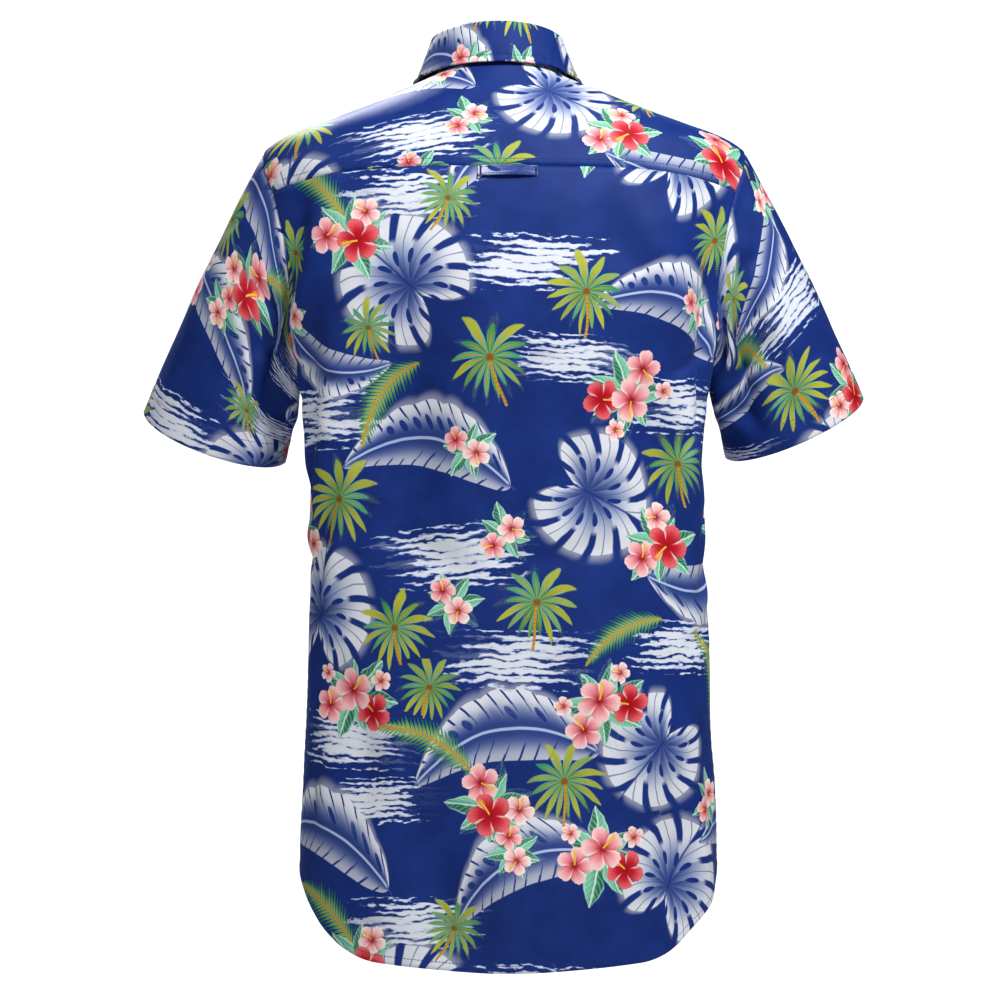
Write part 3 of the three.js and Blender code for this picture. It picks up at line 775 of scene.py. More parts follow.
def yoke_panel():
    seam_angle, seam_level = armhole_place(YOKE_BACK_TURN)
    arm_angles, arm_levels = armhole_place(armhole_turns(YOKE_BACK_TURN, YOKE_FRONT_TURN))
    across = even_steps(-1, 1, lambda share: body_form(seam_angle * share, seam_level))
    middle = seam_angle * across[1:-1]
    foot_angles = np.concatenate([-arm_angles[::-1], middle, arm_angles])
    foot_levels = np.concatenate([arm_levels[::-1], np.full(middle.shape, seam_level), arm_levels])
    up = np.linspace(0, 1, YOKE_ROWS)[:, None]
    points, normals = body_cloth(foot_angles, mix(foot_levels, NECK_LEVEL, up))
    forward = body_form(0.0, seam_level)[1] - points[..., 1]
    flat_v = points[..., 2] + YOKE_FLAT_RISE * forward
    flat = np.stack([points[..., 0] * YOKE_FLAT_WIDTH, flat_v], -1)
    trim(points, SEAM_GAP, rows=[0], columns=[0, -1])
    on_arm = np.ones(len(foot_angles))
    on_arm[len(arm_angles):-len(arm_angles)] = 0
    foot = [("stitched seam", 1 - on_arm), ("armhole", on_arm)]
    panel = Panel("cloth_yoke", "back_yoke", points, normals, flat)
    return panel.finish_edges(foot=foot, start="stitched seam", end="stitched seam")


# A front: side 1 is the wearer's left. The right front steps in behind the left one where they lap.
def front_panel(side):
    arm_angles, arm_levels, armpit = side_rows(1 + YOKE_FRONT_TURN)
    seam_angle, seam_level = armhole_place(YOKE_FRONT_TURN)
    seam = even_steps(seam_level, NECK_LEVEL, lambda level: body_form(seam_angle, level))[1:]
    edge_angles = np.concatenate([arm_angles, np.full(seam.shape, seam_angle)])
    row_levels = np.concatenate([arm_levels, seam])
    band_angle = past_centre(-LAP - BAND_MARGIN, row_levels)
    end_angle = past_centre(LAP, row_levels)
    plain = np.linspace(0, 1, PLAIN_COLUMNS, endpoint=False)
    band = np.linspace(0, 1, BAND_COLUMNS)
    angle = np.concatenate([
        edge_angles[:, None] + (band_angle - edge_angles)[:, None] * plain,
        band_angle[:, None] + (end_angle - band_angle)[:, None] * band,
    ], axis=1)
    points, normals = body_cloth(side * angle, row_levels[:, None])
    centre = points.shape[1] - 1
    flat = np.stack([side * -flat_across(points, centre), points[..., 2]], -1)
    if side < 0:
        in_band = np.concatenate([np.zeros(PLAIN_COLUMNS), band * BAND_WIDTH / BAND_STEP])
        points = points - normals * ((WALL + LAYER_GAP) * smooth(in_band))[None, :, None]
    trim(points, SEAM_GAP, rows=[-1], columns=[0])
    sides = side_kinds(len(row_levels), armpit, len(arm_levels))
    node = f"front_{SIDES[side]}"
    panel = Panel("cloth_" + node, node, points, normals, flat)
    return panel.finish_edges(foot="hem", start=sides, end="edge")


# A sleeve, from the armhole to the hem, with its underarm seam where the columns meet
def sleeve_panel(side):
    turns = even_steps(-0.5, 0.5, lambda t: sleeve_form(side, np.full(t.shape, 0.5), t))
    alongs = even_steps(0, 1, lambda t: sleeve_form(side, t, np.zeros(t.shape)))
    along, turn = np.meshgrid(alongs, turns, indexing="ij")
    points, normals = sleeve_cloth(side, along, turn)
    round_length = np.linalg.norm(np.diff(points, axis=1), axis=-1).sum(axis=1)
    flat_u = side * turn * round_length[:, None]
    down = run_lengths(points, 0)[0][:, turn.shape[1] // 2][:, None]
    flat = np.stack([flat_u, np.broadcast_to(-down, flat_u.shape)], -1)
    trim(points, ARMHOLE_GAP, rows=[0])
    node = f"sleeve_{SIDES[side]}"
    panel = Panel("cloth_" + node, node, points[:, :-1], normals[:, :-1], flat, wraps=True)
    panel.finish_edges(foot="armhole", head="cuff")
    seam = np.minimum(panel.distance["start"], panel.distance["end"])
    panel.points = panel.points - panel.normals * (0.5 * bell(seam / 1.2))[..., None]
    return panel


def stand_panel():
    overlap = np.degrees(np.arcsin(LAP / NECK["half_width"]))
    rows, columns = STAND_GRID
    angles = (180 + overlap) * np.linspace(-1, 1, columns)
    up, angle = np.meshgrid(np.linspace(-STAND_TUCK, 1, rows), angles, indexing="ij")
    points, normals = stand_cloth(angle, up)
    flat = np.stack([angle * NECK_FLAT, up * STAND_HEIGHT["back"]], -1)
    panel = Panel("cloth_collar_stand", "collar_stand", points, normals, flat, thick=WALL)
    return panel.finish_edges(foot="free", start="edge", end="edge")


def leaf_panel():
    rows, columns = LEAF_GRID
    down, across = np.meshgrid(np.linspace(0, 1, rows), np.linspace(-1, 1, columns), indexing="ij")
    inside = np.clip(down, 0.01, 0.99)
    within = np.clip(across, -0.99, 0.99)
    normals = -normal_of(leaf_form, inside, within, 0.01, 0.005)
    points = leaf_form(down, across) + normals * WALL
    flat = np.stack([across * LEAF_FLAT_HALF, -run_lengths(points, 0)[0]], -1)
    panel = Panel("cloth_collar_leaf", "collar_leaf", points, normals, flat, thick=WALL)
    return panel.finish_edges(head="edge", start="edge", end="edge")


def placket_panel():
    levels = even_steps(0, NECK_LEVEL - 0.05, lambda level: body_form(180.0, level))
    across = np.linspace(-PLACKET_HALF_WIDTH, PLACKET_HALF_WIDTH, PLACKET_COLUMNS)
    level = np.broadcast_to(levels[:, None], (len(levels), len(across)))
    angle = past_centre(across, level)
    points, normals = body_cloth(angle, level)
    flat = np.stack([np.broadcast_to(across, level.shape), points[..., 2]], -1)
    points = points + normals * (LAYER_GAP + PLACKET_WALL)
    panel = Panel("cloth_placket", "front_placket", points, normals, flat, thick=PLACKET_WALL)
    return panel.finish_edges(foot="hem", start="edge", end="edge")


def level_at_height(angle, z):
    low, high = 0.0, float(NECK_LEVEL)
    for _ in range(40):
        middle = (low + high) / 2
        if body_form(angle, middle)[2] < z:
            low = middle
        else:
            high = middle
    return low


def loop_panel():
    seam_z = body_form(0.0, armhole_place(YOKE_BACK_TURN)[1])[2]
    rows, columns = LOOP_GRID
    heights = seam_z - LOOP_DROP - LOOP_HEIGHT * np.linspace(1, 0, rows)
    levels = np.array([level_at_height(0.0, z) for z in heights])
    across = np.linspace(-1, 1, columns)
    level = np.broadcast_to(levels[:, None], (len(levels), len(across)))
    x = LOOP_X + across * LOOP_HALF_LENGTH
    angle = np.degrees(np.arcsin(x / ring_at(level)["half_width"]))
    points, normals = body_cloth(angle, level)
    bow = LOOP_SAG * (1 - across**2) + LAYER_GAP + LOOP_WALL
    points = points + normals * bow[None, :, None]
    flat = np.stack([np.broadcast_to(x, level.shape), points[..., 2]], -1)
    panel = Panel("cloth_locker_loop", "locker_loop", points, normals, flat, thick=LOOP_WALL)
    return panel.finish_edges(foot="free", head="free")


# The line on a panel at a given distance in from one of its edges, less a length at each end
def line_along(panel, side, distance, cut=(0, 0), inside=False):
    points, normals, gaps, thick = panel.points, panel.normals, panel.distance[side], panel.thick
    if inside:
        points = points - normals * thick[..., None]
        normals = -normals
    if side in ("start", "end"):
        points, normals, gaps = points.swapaxes(0, 1), normals.swapaxes(0, 1), gaps.T
    if side in ("head", "end"):
        points, normals, gaps = points[::-1], normals[::-1], gaps[::-1]
    after = np.maximum(1, (gaps < distance).sum(axis=0))
    column = np.arange(gaps.shape[1])
    share = (distance - gaps[after - 1, column]) / (gaps[after, column] - gaps[after - 1, column])
    line = mix(points[after - 1, column], points[after, column], share[:, None])
    facing = unit(mix(normals[after - 1, column], normals[after, column], share[:, None]))
    if panel.wraps:
        line = np.concatenate([line, line[:1]])
        facing = np.concatenate([facing, facing[:1]])
    run = run_of(line)
    ends = np.linspace(cut[0], run[-1] - cut[1], max(2, int(run[-1])))
    return sample(run, line, ends), unit(sample(run, facing, ends))


def sample(run, values, at):
    return np.stack([np.interp(at, run, values[:, k]) for k in range(3)], -1)


# Sewing thread: each stitch is a short rounded bar whose ends dip into the cloth
STITCH_LENGTH = 2.4
STITCH_PITCH = 3.0
STITCH_HALF_WIDTH = 0.27
# Length and half width of the bars that sew buttons, buttonholes and the loop's ends
BUTTON_BAR = (3.1, 0.16)
HOLE_SIDE_BAR = (1.2, 0.2)
HOLE_END_BAR = (1.7, 0.22)
TACK_BAR = (2.0, 0.22)
STITCH_SECTIONS = [
    # along, width, lift
    (-0.5, 0.3, -0.25),
    (-0.36, 0.9, 0.08),
    (0, 1.0, 0.14),
    (0.36, 0.9, 0.08),
    (0.5, 0.3, -0.25),
]


def thread_bars(centres, directions, normals, length, half_width=STITCH_HALF_WIDTH):
    side = unit(np.cross(normals, directions))
    corners = []
    for along, width, lift in STITCH_SECTIONS:
        for turn in range(4):
            c, s = np.cos(turn * np.pi / 2), np.sin(turn * np.pi / 2)
            out = normals * (lift + s * half_width * width)
            at = centres + directions * (along * length) + side * (c * half_width * width)
            corners.append(at + out)
    points = np.stack(corners, 1)
    bar = [
        [4 * k + t, 4 * k + (t + 1) % 4, 4 * k + 4 + (t + 1) % 4, 4 * k + 4 + t]
        for k in range(len(STITCH_SECTIONS) - 1)
        for t in range(4)
    ]
    size = points.shape[1]
    faces = np.array(bar)[None] + size * np.arange(len(points))[:, None, None]
    return points.reshape(-1, 3), faces.reshape(-1, 4)


def stitch_line(line, facing):
    run = run_of(line)
    count = int(run[-1] / STITCH_PITCH)
    at = (np.arange(count) + 0.5) * run[-1] / count
    half = STITCH_LENGTH / 2
    directions = unit(sample(run, line, at + half) - sample(run, line, at - half))
    centres, normals = sample(run, line, at), unit(sample(run, facing, at))
    return thread_bars(centres, directions, normals, STITCH_LENGTH)


def join_parts(parts):
    vertices, faces, made = [], [], 0
    for points, corners in parts:
        vertices.append(points)
        faces.append(corners + made)
        made += len(points)
    return np.concatenate(vertices), np.concatenate(faces)


# Rows of stitching: side of the panel, distance in, lengths left off at the ends, and whether the
# inner face has it too
SEWN = {
    "cloth_back": [("foot", HEM_STITCH, (3, 3), True)],
    "cloth_yoke": [(side, SEAM_STITCH, (3, 3), False) for side in ("start", "end")],
    "cloth_front_left": [("foot", HEM_STITCH, (3, 18), True)],
    "cloth_front_right": [("foot", HEM_STITCH, (3, 3), True), ("end", EDGE_STITCH, (6, 4), False)],
    "cloth_sleeve_left": [("head", CUFF_STITCH, (0, 0), True)],
    "cloth_sleeve_right": [("head", CUFF_STITCH, (0, 0), True)],
    "cloth_collar_stand": [
        ("foot", 4.6, (5, 5), False),
        ("head", 3.2, (5, 5), True),
        ("start", EDGE_STITCH, (5, 4), False),
        ("end", EDGE_STITCH, (5, 4), False),
    ],
    "cloth_collar_leaf": [
        ("head", EDGE_STITCH, (5, 5), False),
        ("start", EDGE_STITCH, (14, 5), False),
        ("end", EDGE_STITCH, (14, 5), False),
    ],
    "cloth_placket": [(side, EDGE_STITCH, (3, 3), False) for side in ("start", "end")],
    "cloth_locker_loop": [(side, 1.3, (2, 2), False) for side in ("foot", "head")],
}


# The print: every motif is drawn by formula in its own coordinates, from -1 to 1 across its size
def ink(code):
    channels = [int(code[i:i + 2], 16) / 255 for i in (1, 3, 5)]
    return tuple(c / 12.92 if c <= 0.04045 else ((c + 0.055) / 1.055) ** 2.4 for c in channels)


GROUND, GROUND_DEEP, REVERSE = map(ink, ("#213d86", "#1c367a", "#7f93c4"))
WHITE, ICE = map(ink, ("#e4e7ee", "#bccbeb"))
PINK_RIM, PINK, PALE_RIM, PALE = map(ink, ("#fbd3d3", "#ee8e98", "#fdeae6", "#f6b8b8"))
RED_RIM, RED, THROAT, SHADE_RED = map(ink, ("#e9737a", "#c81f31", "#a50f26", "#8c1526"))
LEAF_DARK, LEAF_MINT, LEAF_PALE = map(ink, ("#2c7d5e", "#83cbab", "#cdeedd"))
GREEN, LIME, TEAL = map(ink, ("#3f9350", "#b6bd47", "#4fa98f"))
OCHRE, OCHRE_DARK, POLLEN = map(ink, ("#cf9a2f", "#8f6320", "#f0c23c"))


class Number:
    """A number that shader nodes work out at each point of the cloth."""

    def __init__(self, socket, tree):
        self.socket, self.tree = socket, tree

    def __add__(self, other):
        return calc("ADD", self, other)

    def __sub__(self, other):
        return calc("SUBTRACT", self, other)

    def __rsub__(self, other):
        return calc("SUBTRACT", other, self)

    def __mul__(self, other):
        return calc("MULTIPLY", self, other)

    def __truediv__(self, other):
        return calc("DIVIDE", self, other)

    def __pow__(self, other):
        return calc("POWER", self, other)

    __radd__ = __add__
    __rmul__ = __mul__


def plug(tree, value, socket):
    if isinstance(value, Number):
        tree.links.new(value.socket, socket)
    elif isinstance(value, bpy.types.NodeSocket):
        tree.links.new(value, socket)
    elif isinstance(value, tuple):
        socket.default_value = (*value, 1)
    else:
        socket.default_value = value


def calc(operation, *values):
    tree = next(v.tree for v in values if isinstance(v, Number))
    node = tree.nodes.new("ShaderNodeMath")
    node.operation = operation
    for value, socket in zip(values, node.inputs):
        plug(tree, value, socket)
    return Number(node.outputs[0], tree)


def maths(operation):
    return lambda *values: calc(operation, *values)


sine = maths("SINE")
cosine = maths("COSINE")
heading = maths("ARCTAN2")
size_of = maths("ABSOLUTE")
sign_of = maths("SIGN")
fraction = maths("FRACT")
whole = maths("FLOOR")
at_least = maths("MAXIMUM")
at_most = maths("MINIMUM")


def root(x, y):
    return calc("SQRT", x * x + y * y)


# Share of the way out from the middle of a cell one unit wide
def off_middle(x):
    return size_of(fraction(x) - 0.5) * 2


# 0 at start, 1 at end, also where start is the larger
def step(value, start, end):
    node = value.tree.nodes.new("ShaderNodeMapRange")
    node.interpolation_type = "SMOOTHSTEP"
    plug(value.tree, value, node.inputs["Value"])
    plug(value.tree, start, node.inputs["From Min"])
    plug(value.tree, end, node.inputs["From Max"])
    return Number(node.outputs["Result"], value.tree)


def blend(first, second, share):
    node = share.tree.nodes.new("ShaderNodeMix")
    node.data_type = "RGBA"
    plug(share.tree, share, node.inputs["Factor"])
    plug(share.tree, first, node.inputs[6])
    plug(share.tree, second, node.inputs[7])
    return node.outputs[2]


# Colours laid over a base, each by its share
def coats(colour, *layers):
    for layer, share in layers:
        colour = blend(colour, layer, share)
    return colour


def place(x, y, z=0.0):
    node = x.tree.nodes.new("ShaderNodeCombineXYZ")
    for value, socket in zip((x, y, z), node.inputs):
        plug(x.tree, value, socket)
    return node.outputs[0]


def noise(x, y, scale, z=0.0, detail=2.0):
    node = x.tree.nodes.new("ShaderNodeTexNoise")
    x.tree.links.new(place(x, y, z), node.inputs["Vector"])
    node.inputs["Scale"].default_value = scale
    node.inputs["Detail"].default_value = detail
    return Number(node.outputs["Fac"], x.tree)


def oval(x, y, start, end):
    return step(x * x + y * y, start, end)


# A random share, the same for the same number
def chance(x):
    node = x.tree.nodes.new("ShaderNodeTexWhiteNoise")
    node.noise_dimensions = "1D"
    plug(x.tree, x, node.inputs["W"])
    return Number(node.outputs["Value"], x.tree)


# Counts in the drawings below. Their other sizes are shares of the motif's reach.
PETALS = 5
RING_LEAVES = 7
FAN_LEAFLETS = 15
FROND_ROWS = 12.5
LONG_LEAF_ROWS = 6.2
STROKE_ROWS = 9
TINY = 0.0001


# Five broad petals round a red throat, with a long stamen
def draw_flower(x, y, tone):
    wobble = noise(x, y, 2.2, tone * 9) - 0.5
    reach_out = root(x, y)
    turn = heading(y, x) * (1 / TAU)
    across = fraction((turn + wobble * 0.05 + reach_out * 0.035) * PETALS) - 0.5
    off = size_of(across) * 2
    ruffle = sine(turn * (TAU * 27) + wobble * 16) * 0.018
    reach = off**2.6 * -0.33 + 0.95 + ruffle - wobble * 0.2
    cover = step(reach_out - reach, 0.018, -0.018)
    share = reach_out / reach
    is_red = step(tone, 0.55, 0.6)
    is_pale = step(tone, 0.25, 0.3) * step(tone, 0.45, 0.4)
    rim = blend(blend(PINK_RIM, PALE_RIM, is_pale), RED_RIM, is_red)
    middle = blend(blend(PINK, PALE, is_pale), RED, is_red)
    streak = sine(across * 62 + wobble * 8) * 0.07
    colour = blend(rim, middle, step(share + streak, 1.0, 0.42))
    fold = step(across, 0.16, 0.5) * step(share, 0.15, 0.5) * 0.62
    colour = blend(colour, blend(RED, SHADE_RED, is_red), fold)
    lit = step(across, -0.3, -0.5) * step(share, 0.3, 0.7) * 0.75
    colour = blend(colour, PALE_RIM, lit)
    colour = blend(colour, THROAT, step(share + streak * 1.8, 0.46, 0.13))
    bend = y - sine(x * 2.6) * 0.1
    stamen = step(size_of(bend), 0.05, 0.03) * step(x, 0.0, 0.05) * step(x, 0.74, 0.68)
    colour = blend(colour, POLLEN, stamen)
    dots = step(noise(x, y, 24, detail=0), 0.52, 0.56) * step(size_of(bend), 0.12, 0.1)
    colour = blend(colour, POLLEN, dots * step(x, 0.44, 0.5) * step(x, 0.84, 0.78))
    return colour, cover


# Pointed leaves spread round a point, each with a pale rib and veins
def draw_leaf_ring(x, y, tone):
    wobble = noise(x, y, 2.6, tone * 7) - 0.5
    spin = heading(y, x) * (RING_LEAVES / TAU) + wobble * 0.25
    luck = chance(whole(spin) + tone * 41)
    off = (fraction(spin) - 0.5 + (luck - 0.5) * 0.28) * (TAU / RING_LEAVES)
    length = luck * 0.3 + 0.7
    out = root(x, y)
    along = out * cosine(off) / length
    side = out * sine(off) / length
    body = sine(at_most(at_least(along, 0.0), 1.0) * np.pi)
    half = at_least(body, TINY)**0.8 * (along * -0.12 + 0.27)
    cover = step(size_of(side) - half, 0.012, -0.012) * step(along, 1.0, 0.98)
    veins = step(sine((along - size_of(side) * 1.4) * 46 + wobble * 5), 0.55, 0.95)
    colour = blend(LEAF_DARK, LEAF_MINT, step(side + wobble * 0.12, -0.08, 0.12))
    colour = coats(
        colour,
        (LEAF_PALE, step(size_of(side) / half, 0.72, 1.0) * 0.75),
        (LEAF_PALE, veins * 0.35),
        (LEAF_PALE, step(size_of(side), 0.026, 0.01)),
    )
    return colour, cover


# Fan leaf: long leaflets that droop from one point, on a stalk
def draw_fan(x, y, tone):
    wobble = noise(x, y, 2.4, tone * 5) - 0.5
    above = y - 0.02
    out = root(x, above)
    lean = heading(x, above)
    bent = lean - out * sine(lean) * 0.5
    spin = bent * (FAN_LEAFLETS / TAU) + wobble * 0.35
    cell = whole(spin) + tone * 57
    luck = chance(cell)
    off = off_middle(spin)
    share = out / (luck * 0.34 + 0.64)
    half = share**2.2 * -0.98 + 0.98
    cover = step(off - half, 0.1, -0.08) * step(share, 1.0, 0.96)
    other = chance(cell + 13.7)
    colour = blend(GREEN, TEAL, other)
    colour = coats(
        colour,
        (LIME, step(luck, 0.3, 0.75) * step(share, 0.1, 0.7)),
        (LEAF_MINT, step(off, 0.35, 0.85) * step(share, 0.25, 0.6) * 0.8),
        (OCHRE, step(off, 0.32, 0.12) * step(share, 0.85, 0.3) * 0.85),
        (OCHRE_DARK, step(out, 0.11, 0.05)),
    )
    sway = x - sine(y * 3 + tone * 6) * 0.07 + sine(tone * 6 + 0.06) * 0.07
    stalk = step(size_of(sway), 0.036, 0.022) * step(y, -0.02, -0.06) * step(y, -0.98, -0.94)
    rings = step(sine(y * 75), 0.4, 0.9) * 0.5
    stalk_colour = blend(OCHRE, OCHRE_DARK, rings)
    colour = blend(colour, stalk_colour, stalk)
    return colour, at_least(cover, stalk)


# Feather leaf: leaflets slant from a bowed rib
def draw_frond(x, y, tone):
    wobble = noise(x, y, 2.8, tone * 11) - 0.5
    rib = y + x * x * 0.26 - 0.16
    off = size_of(rib)
    envelope = at_least(x * x * -1.02 + 1.02, TINY)**0.6 * (x * -0.06 + 0.36)
    row = (x - off * 0.75) * FROND_ROWS + wobble * 0.7
    side = sign_of(rib)
    luck = chance(whole(row) + side * 31 + tone * 43)
    share = off / (envelope * (luck * 0.25 + 0.75))
    leaflet = off_middle(row)
    cover = step(leaflet - (share**1.7 * -0.86 + 0.86), 0.1, -0.06) * step(share, 1.0, 0.96)
    colour = blend(LEAF_DARK, GREEN, luck)
    colour = blend(colour, LIME, step(share, 0.75, 0.15) * 0.7)
    colour = blend(colour, LEAF_MINT, step(leaflet, 0.3, 0.75) * 0.75)
    line = step(off, 0.026, 0.014) * step(size_of(x), 1.0, 0.97)
    colour = blend(colour, OCHRE, line)
    return colour, at_least(cover, line)


# Inside its edge, a sprayed leaf is laid on fresh ground that hides what is printed below it
def over_ground(colour, cover, inside):
    whole_cover = at_least(cover, inside)
    return blend(GROUND, colour, cover / at_least(whole_cover, 0.001)), whole_cover


# Large white leaf with slits and holes, sprayed lighter towards its edge
def draw_split_leaf(x, y, tone):
    wobble = noise(x, y, 1.8, tone * 3) - 0.5
    out = root(x, y)
    lean = heading(x, y)
    round_lean = size_of(lean)
    reach = cosine(lean) * 0.1 + 0.84 - step(round_lean, 2.45, 3.14) * 0.55 + wobble * 0.1
    share = out / reach
    ribs = round_lean * 1.95 - out * 1.15 + wobble * 0.35
    phase = fraction(ribs + sign_of(x) * 0.18)
    off = size_of(phase - 0.5) * 2
    slit = step(off, 0.66, 0.78) * step(share, 0.60, 0.70)
    hole = oval((out - 0.39) / 0.1, (off - 1) / 0.34, 1.15, 0.85)
    edge = step(share, 1.012, 0.985)
    spray = step(share + phase * 0.25, 0.2, 1.0) * 0.9 + 0.06
    lines = at_least(step(size_of(x), 0.022, 0.008), step(off, 0.07, 0.02) * 0.8)
    leaf = edge * (1 - slit) * (1 - hole) * (1 - lines * 0.85) * spray
    halo = step(share, 1.16, 0.99) * step(share, 0.97, 1.0) * 0.4 * step(off, 0.9, 0.5)
    colour = blend(ICE, WHITE, step(share, 0.3, 0.8))
    return over_ground(colour, at_least(leaf, halo), edge)


# Long bowed leaf, sprayed white along one edge, with tears between its veins
def draw_long_leaf(x, y, tone):
    wobble = noise(x, y, 1.9, tone * 15) - 0.5
    rib = y + x * x * 0.42 - 0.24 + wobble * 0.05
    off = size_of(rib)
    upper = step(rib, -0.01, 0.01)
    taper = at_least(x * x * -1.04 + 1.04, TINY)**0.62
    envelope = taper * (x * -0.07 + upper * 0.07 + 0.32)
    scallop = size_of(sine((x + off * 0.3) * 9.5 + wobble * 3)) * 0.09 * upper
    share = off / (envelope * (1 + scallop))
    row = (x - off * 0.62) * LONG_LEAF_ROWS + wobble * 0.8
    luck = chance(whole(row) + upper * 31 + tone * 43)
    off_row = off_middle(row)
    tear = step(off_row, 0.80, 0.9) * step(share, luck * 0.5 + 0.25, luck * 0.5 + 0.35)
    hole = oval((share - 0.42) / 0.2, off_row / 0.5, 1.2, 0.7)
    hole = hole * step(luck, 0.45, 0.5) * upper
    spray = step(share, 0.12, 0.95) * (upper * 0.36 + 0.58) + 0.05
    edge = step(share, 1.015, 0.985)
    leaf = edge * (1 - tear) * (1 - hole) * spray
    halo = step(share, 1.3, 1.0) * step(share, 0.97, 1.0) * 0.38 * upper
    line = step(off, 0.022, 0.01) * step(size_of(x), 1.0, 0.96) * 0.9
    colour = blend(ICE, WHITE, step(share, 0.3, 0.8))
    return over_ground(colour, at_least(at_least(leaf, halo), line), edge)


# Torn white brush strokes, one above another
def draw_strokes(x, y, tone):
    drift = noise(x, y * 1.6, 1.7, tone * 13) - 0.5
    rows = y * STROKE_ROWS + drift * 2.6
    luck = chance(whole(rows) + tone * 29)
    stripe = off_middle(rows)
    tear = noise(x * 9, y * 30, 1.0, tone * 17, detail=4) - 0.5
    shifted = x + (luck - 0.5) * 0.8
    ends = at_least(shifted * shifted * -1.35 + 1, 0.0) * at_least(y * y * -5.5 + 1, 0.0)
    value = stripe * -1.15 + 0.68 + tear * 2.4 + (ends - 0.5) * 1.3
    cover = step(value, 0.0, 0.14) * step(ends, 0.0, 0.08)
    colour = blend(ICE, WHITE, step(value, 0.1, 0.5))
    return colour, cover * 0.97


# kind: drawing, half width and half height that it fills, and how high their middle lies
MOTIFS = {
    "split leaf": (draw_split_leaf, 1.15, 1.15, 0),
    "strokes": (draw_strokes, 1.26, 0.5, 0),
    "long leaf": (draw_long_leaf, 1.05, 0.68, 0.16),
    "leaf ring": (draw_leaf_ring, 1.05, 1.05, 0),
    "fan": (draw_fan, 1.04, 1.04, 0),
    "frond": (draw_frond, 1.04, 0.46, 0.12),
    "flower": (draw_flower, 1.05, 1.05, 0),
}
# Layers from the ground up, each with the kinds that it may hold
LAYERS = {
    "brush": ["strokes"],
    "spray": ["split leaf"],
    "long_spray": ["long leaf"],
    "leaves": ["fan", "frond"],
    "rings": ["leaf ring"],
    "low_flowers": ["flower"],
    "high_flowers": ["flower"],
}
# Width and height of the repeat
REPEAT = np.array([440.0, 620.0])

PINK_TONE, PALE_TONE, RED_TONE = 0.1, 0.35, 0.7
PRINT = {
    # kind: rows of x, y, size, turn, tone
    "split leaf": [
        (72, -62, 62, 32, 0.10), (300, -170, 66, -48, 0.30), (150, -345, 62, 118, 0.50),
        (395, -452, 64, 10, 0.70), (86, -560, 58, -140, 0.20),
    ],
    "long leaf": [
        (400, -30, 80, 14, 0.60), (205, -52, 74, -24, 0.40), (72, -196, 72, 18, 0.15),
        (380, -226, 58, -160, 0.85), (292, -318, 78, 6, 0.25), (224, -566, 80, -10, 0.55),
        (28, -412, 70, 166, 0.75),
    ],
    "strokes": [
        (196, -150, 62, 3, 0.15), (396, -282, 66, -2, 0.35), (52, -272, 60, 2, 0.55),
        (268, -400, 66, -4, 0.75), (60, -478, 58, 2, 0.25), (212, -488, 64, 1, 0.45),
        (302, -92, 56, -2, 0.85), (362, -558, 60, 3, 0.65), (330, -608, 50, -3, 0.05),
        (160, -232, 52, 4, 0.95),
    ],
    "fan": [
        (150, -176, 40, 8, 0.12), (232, -232, 44, -12, 0.32), (372, -352, 42, 10, 0.52),
        (62, -322, 38, -16, 0.72), (196, -440, 42, 14, 0.22), (318, -462, 38, -8, 0.42),
        (20, -130, 36, 20, 0.62), (172, -592, 40, -6, 0.82), (268, -96, 32, 24, 0.92),
        (424, -140, 34, -18, 0.02), (288, -512, 34, 12, 0.48), (338, -206, 30, -20, 0.68),
    ],
    "frond": [
        (392, -86, 48, 34, 0.18), (330, -268, 46, -52, 0.38), (20, -506, 50, 62, 0.58),
        (292, -560, 46, 24, 0.78), (122, -470, 40, -30, 0.28),
    ],
}
CLUSTERS = [
    # x, y, turn, bunch
    (140, -34, 10, "full"),
    (352, -128, -30, "red"),
    (112, -262, 150, "full"),
    (252, -308, 60, "small"),
    (424, -196, 20, "small"),
    (222, -382, -14, "small"),
    (430, -384, 40, "red"),
    (84, -392, -60, "red"),
    (268, -440, 80, "small"),
    (360, -520, 12, "full"),
    (140, -528, -24, "full"),
    (236, -612, 35, "red"),
    (24, -610, -10, "small"),
    (216, -30, 100, "small"),
    (40, -190, 60, "small"),
]
BUNCHES = {
    # layer, x, y, size, turn, tone
    "full": [
        ("rings", 0, 0, 46, 0, 0.1),
        ("low_flowers", -23, -8, 18, 20, RED_TONE),
        ("low_flowers", 22, -12, 17, 70, PINK_TONE),
        ("high_flowers", 0, 6, 20, 115, PINK_TONE),
        ("high_flowers", -26, 20, 10, 40, PALE_TONE),
        ("high_flowers", 30, 14, 9, 10, PALE_TONE),
    ],
    "red": [
        ("rings", 0, 0, 42, 50, 0.4),
        ("low_flowers", 18, 12, 17, 160, PINK_TONE),
        ("low_flowers", -22, 12, 14, 60, PALE_TONE),
        ("high_flowers", -4, -6, 20, 10, RED_TONE),
    ],
    "small": [
        ("rings", 0, 0, 30, 20, 0.7),
        ("low_flowers", 12, -6, 12, 0, PINK_TONE),
        ("high_flowers", -7, 4, 13, 200, PALE_TONE),
    ],
}


def print_stamps():
    layers = {kind: layer for layer, kinds in LAYERS.items() for kind in kinds}
    stamps = [(layers[kind], kind, *row) for kind, rows in PRINT.items() for row in rows]
    for number, (x, y, turn, bunch) in enumerate(CLUSTERS):
        c, s = np.cos(np.radians(turn)), np.sin(np.radians(turn))
        for layer, dx, dy, size, own_turn, tone in BUNCHES[bunch]:
            kind = LAYERS[layer][0]
            own_tone = tone if kind == "flower" else (tone + 0.137 * number) % 1
            at = (x + dx * c - dy * s, y + dx * s + dy * c)
            stamps.append((layer, kind, *at, size, own_turn + turn, own_tone))
    return stamps


STAMPS = print_stamps()
# Where a corner lies that no motif of a layer reaches
FAR_OFF = 9.0


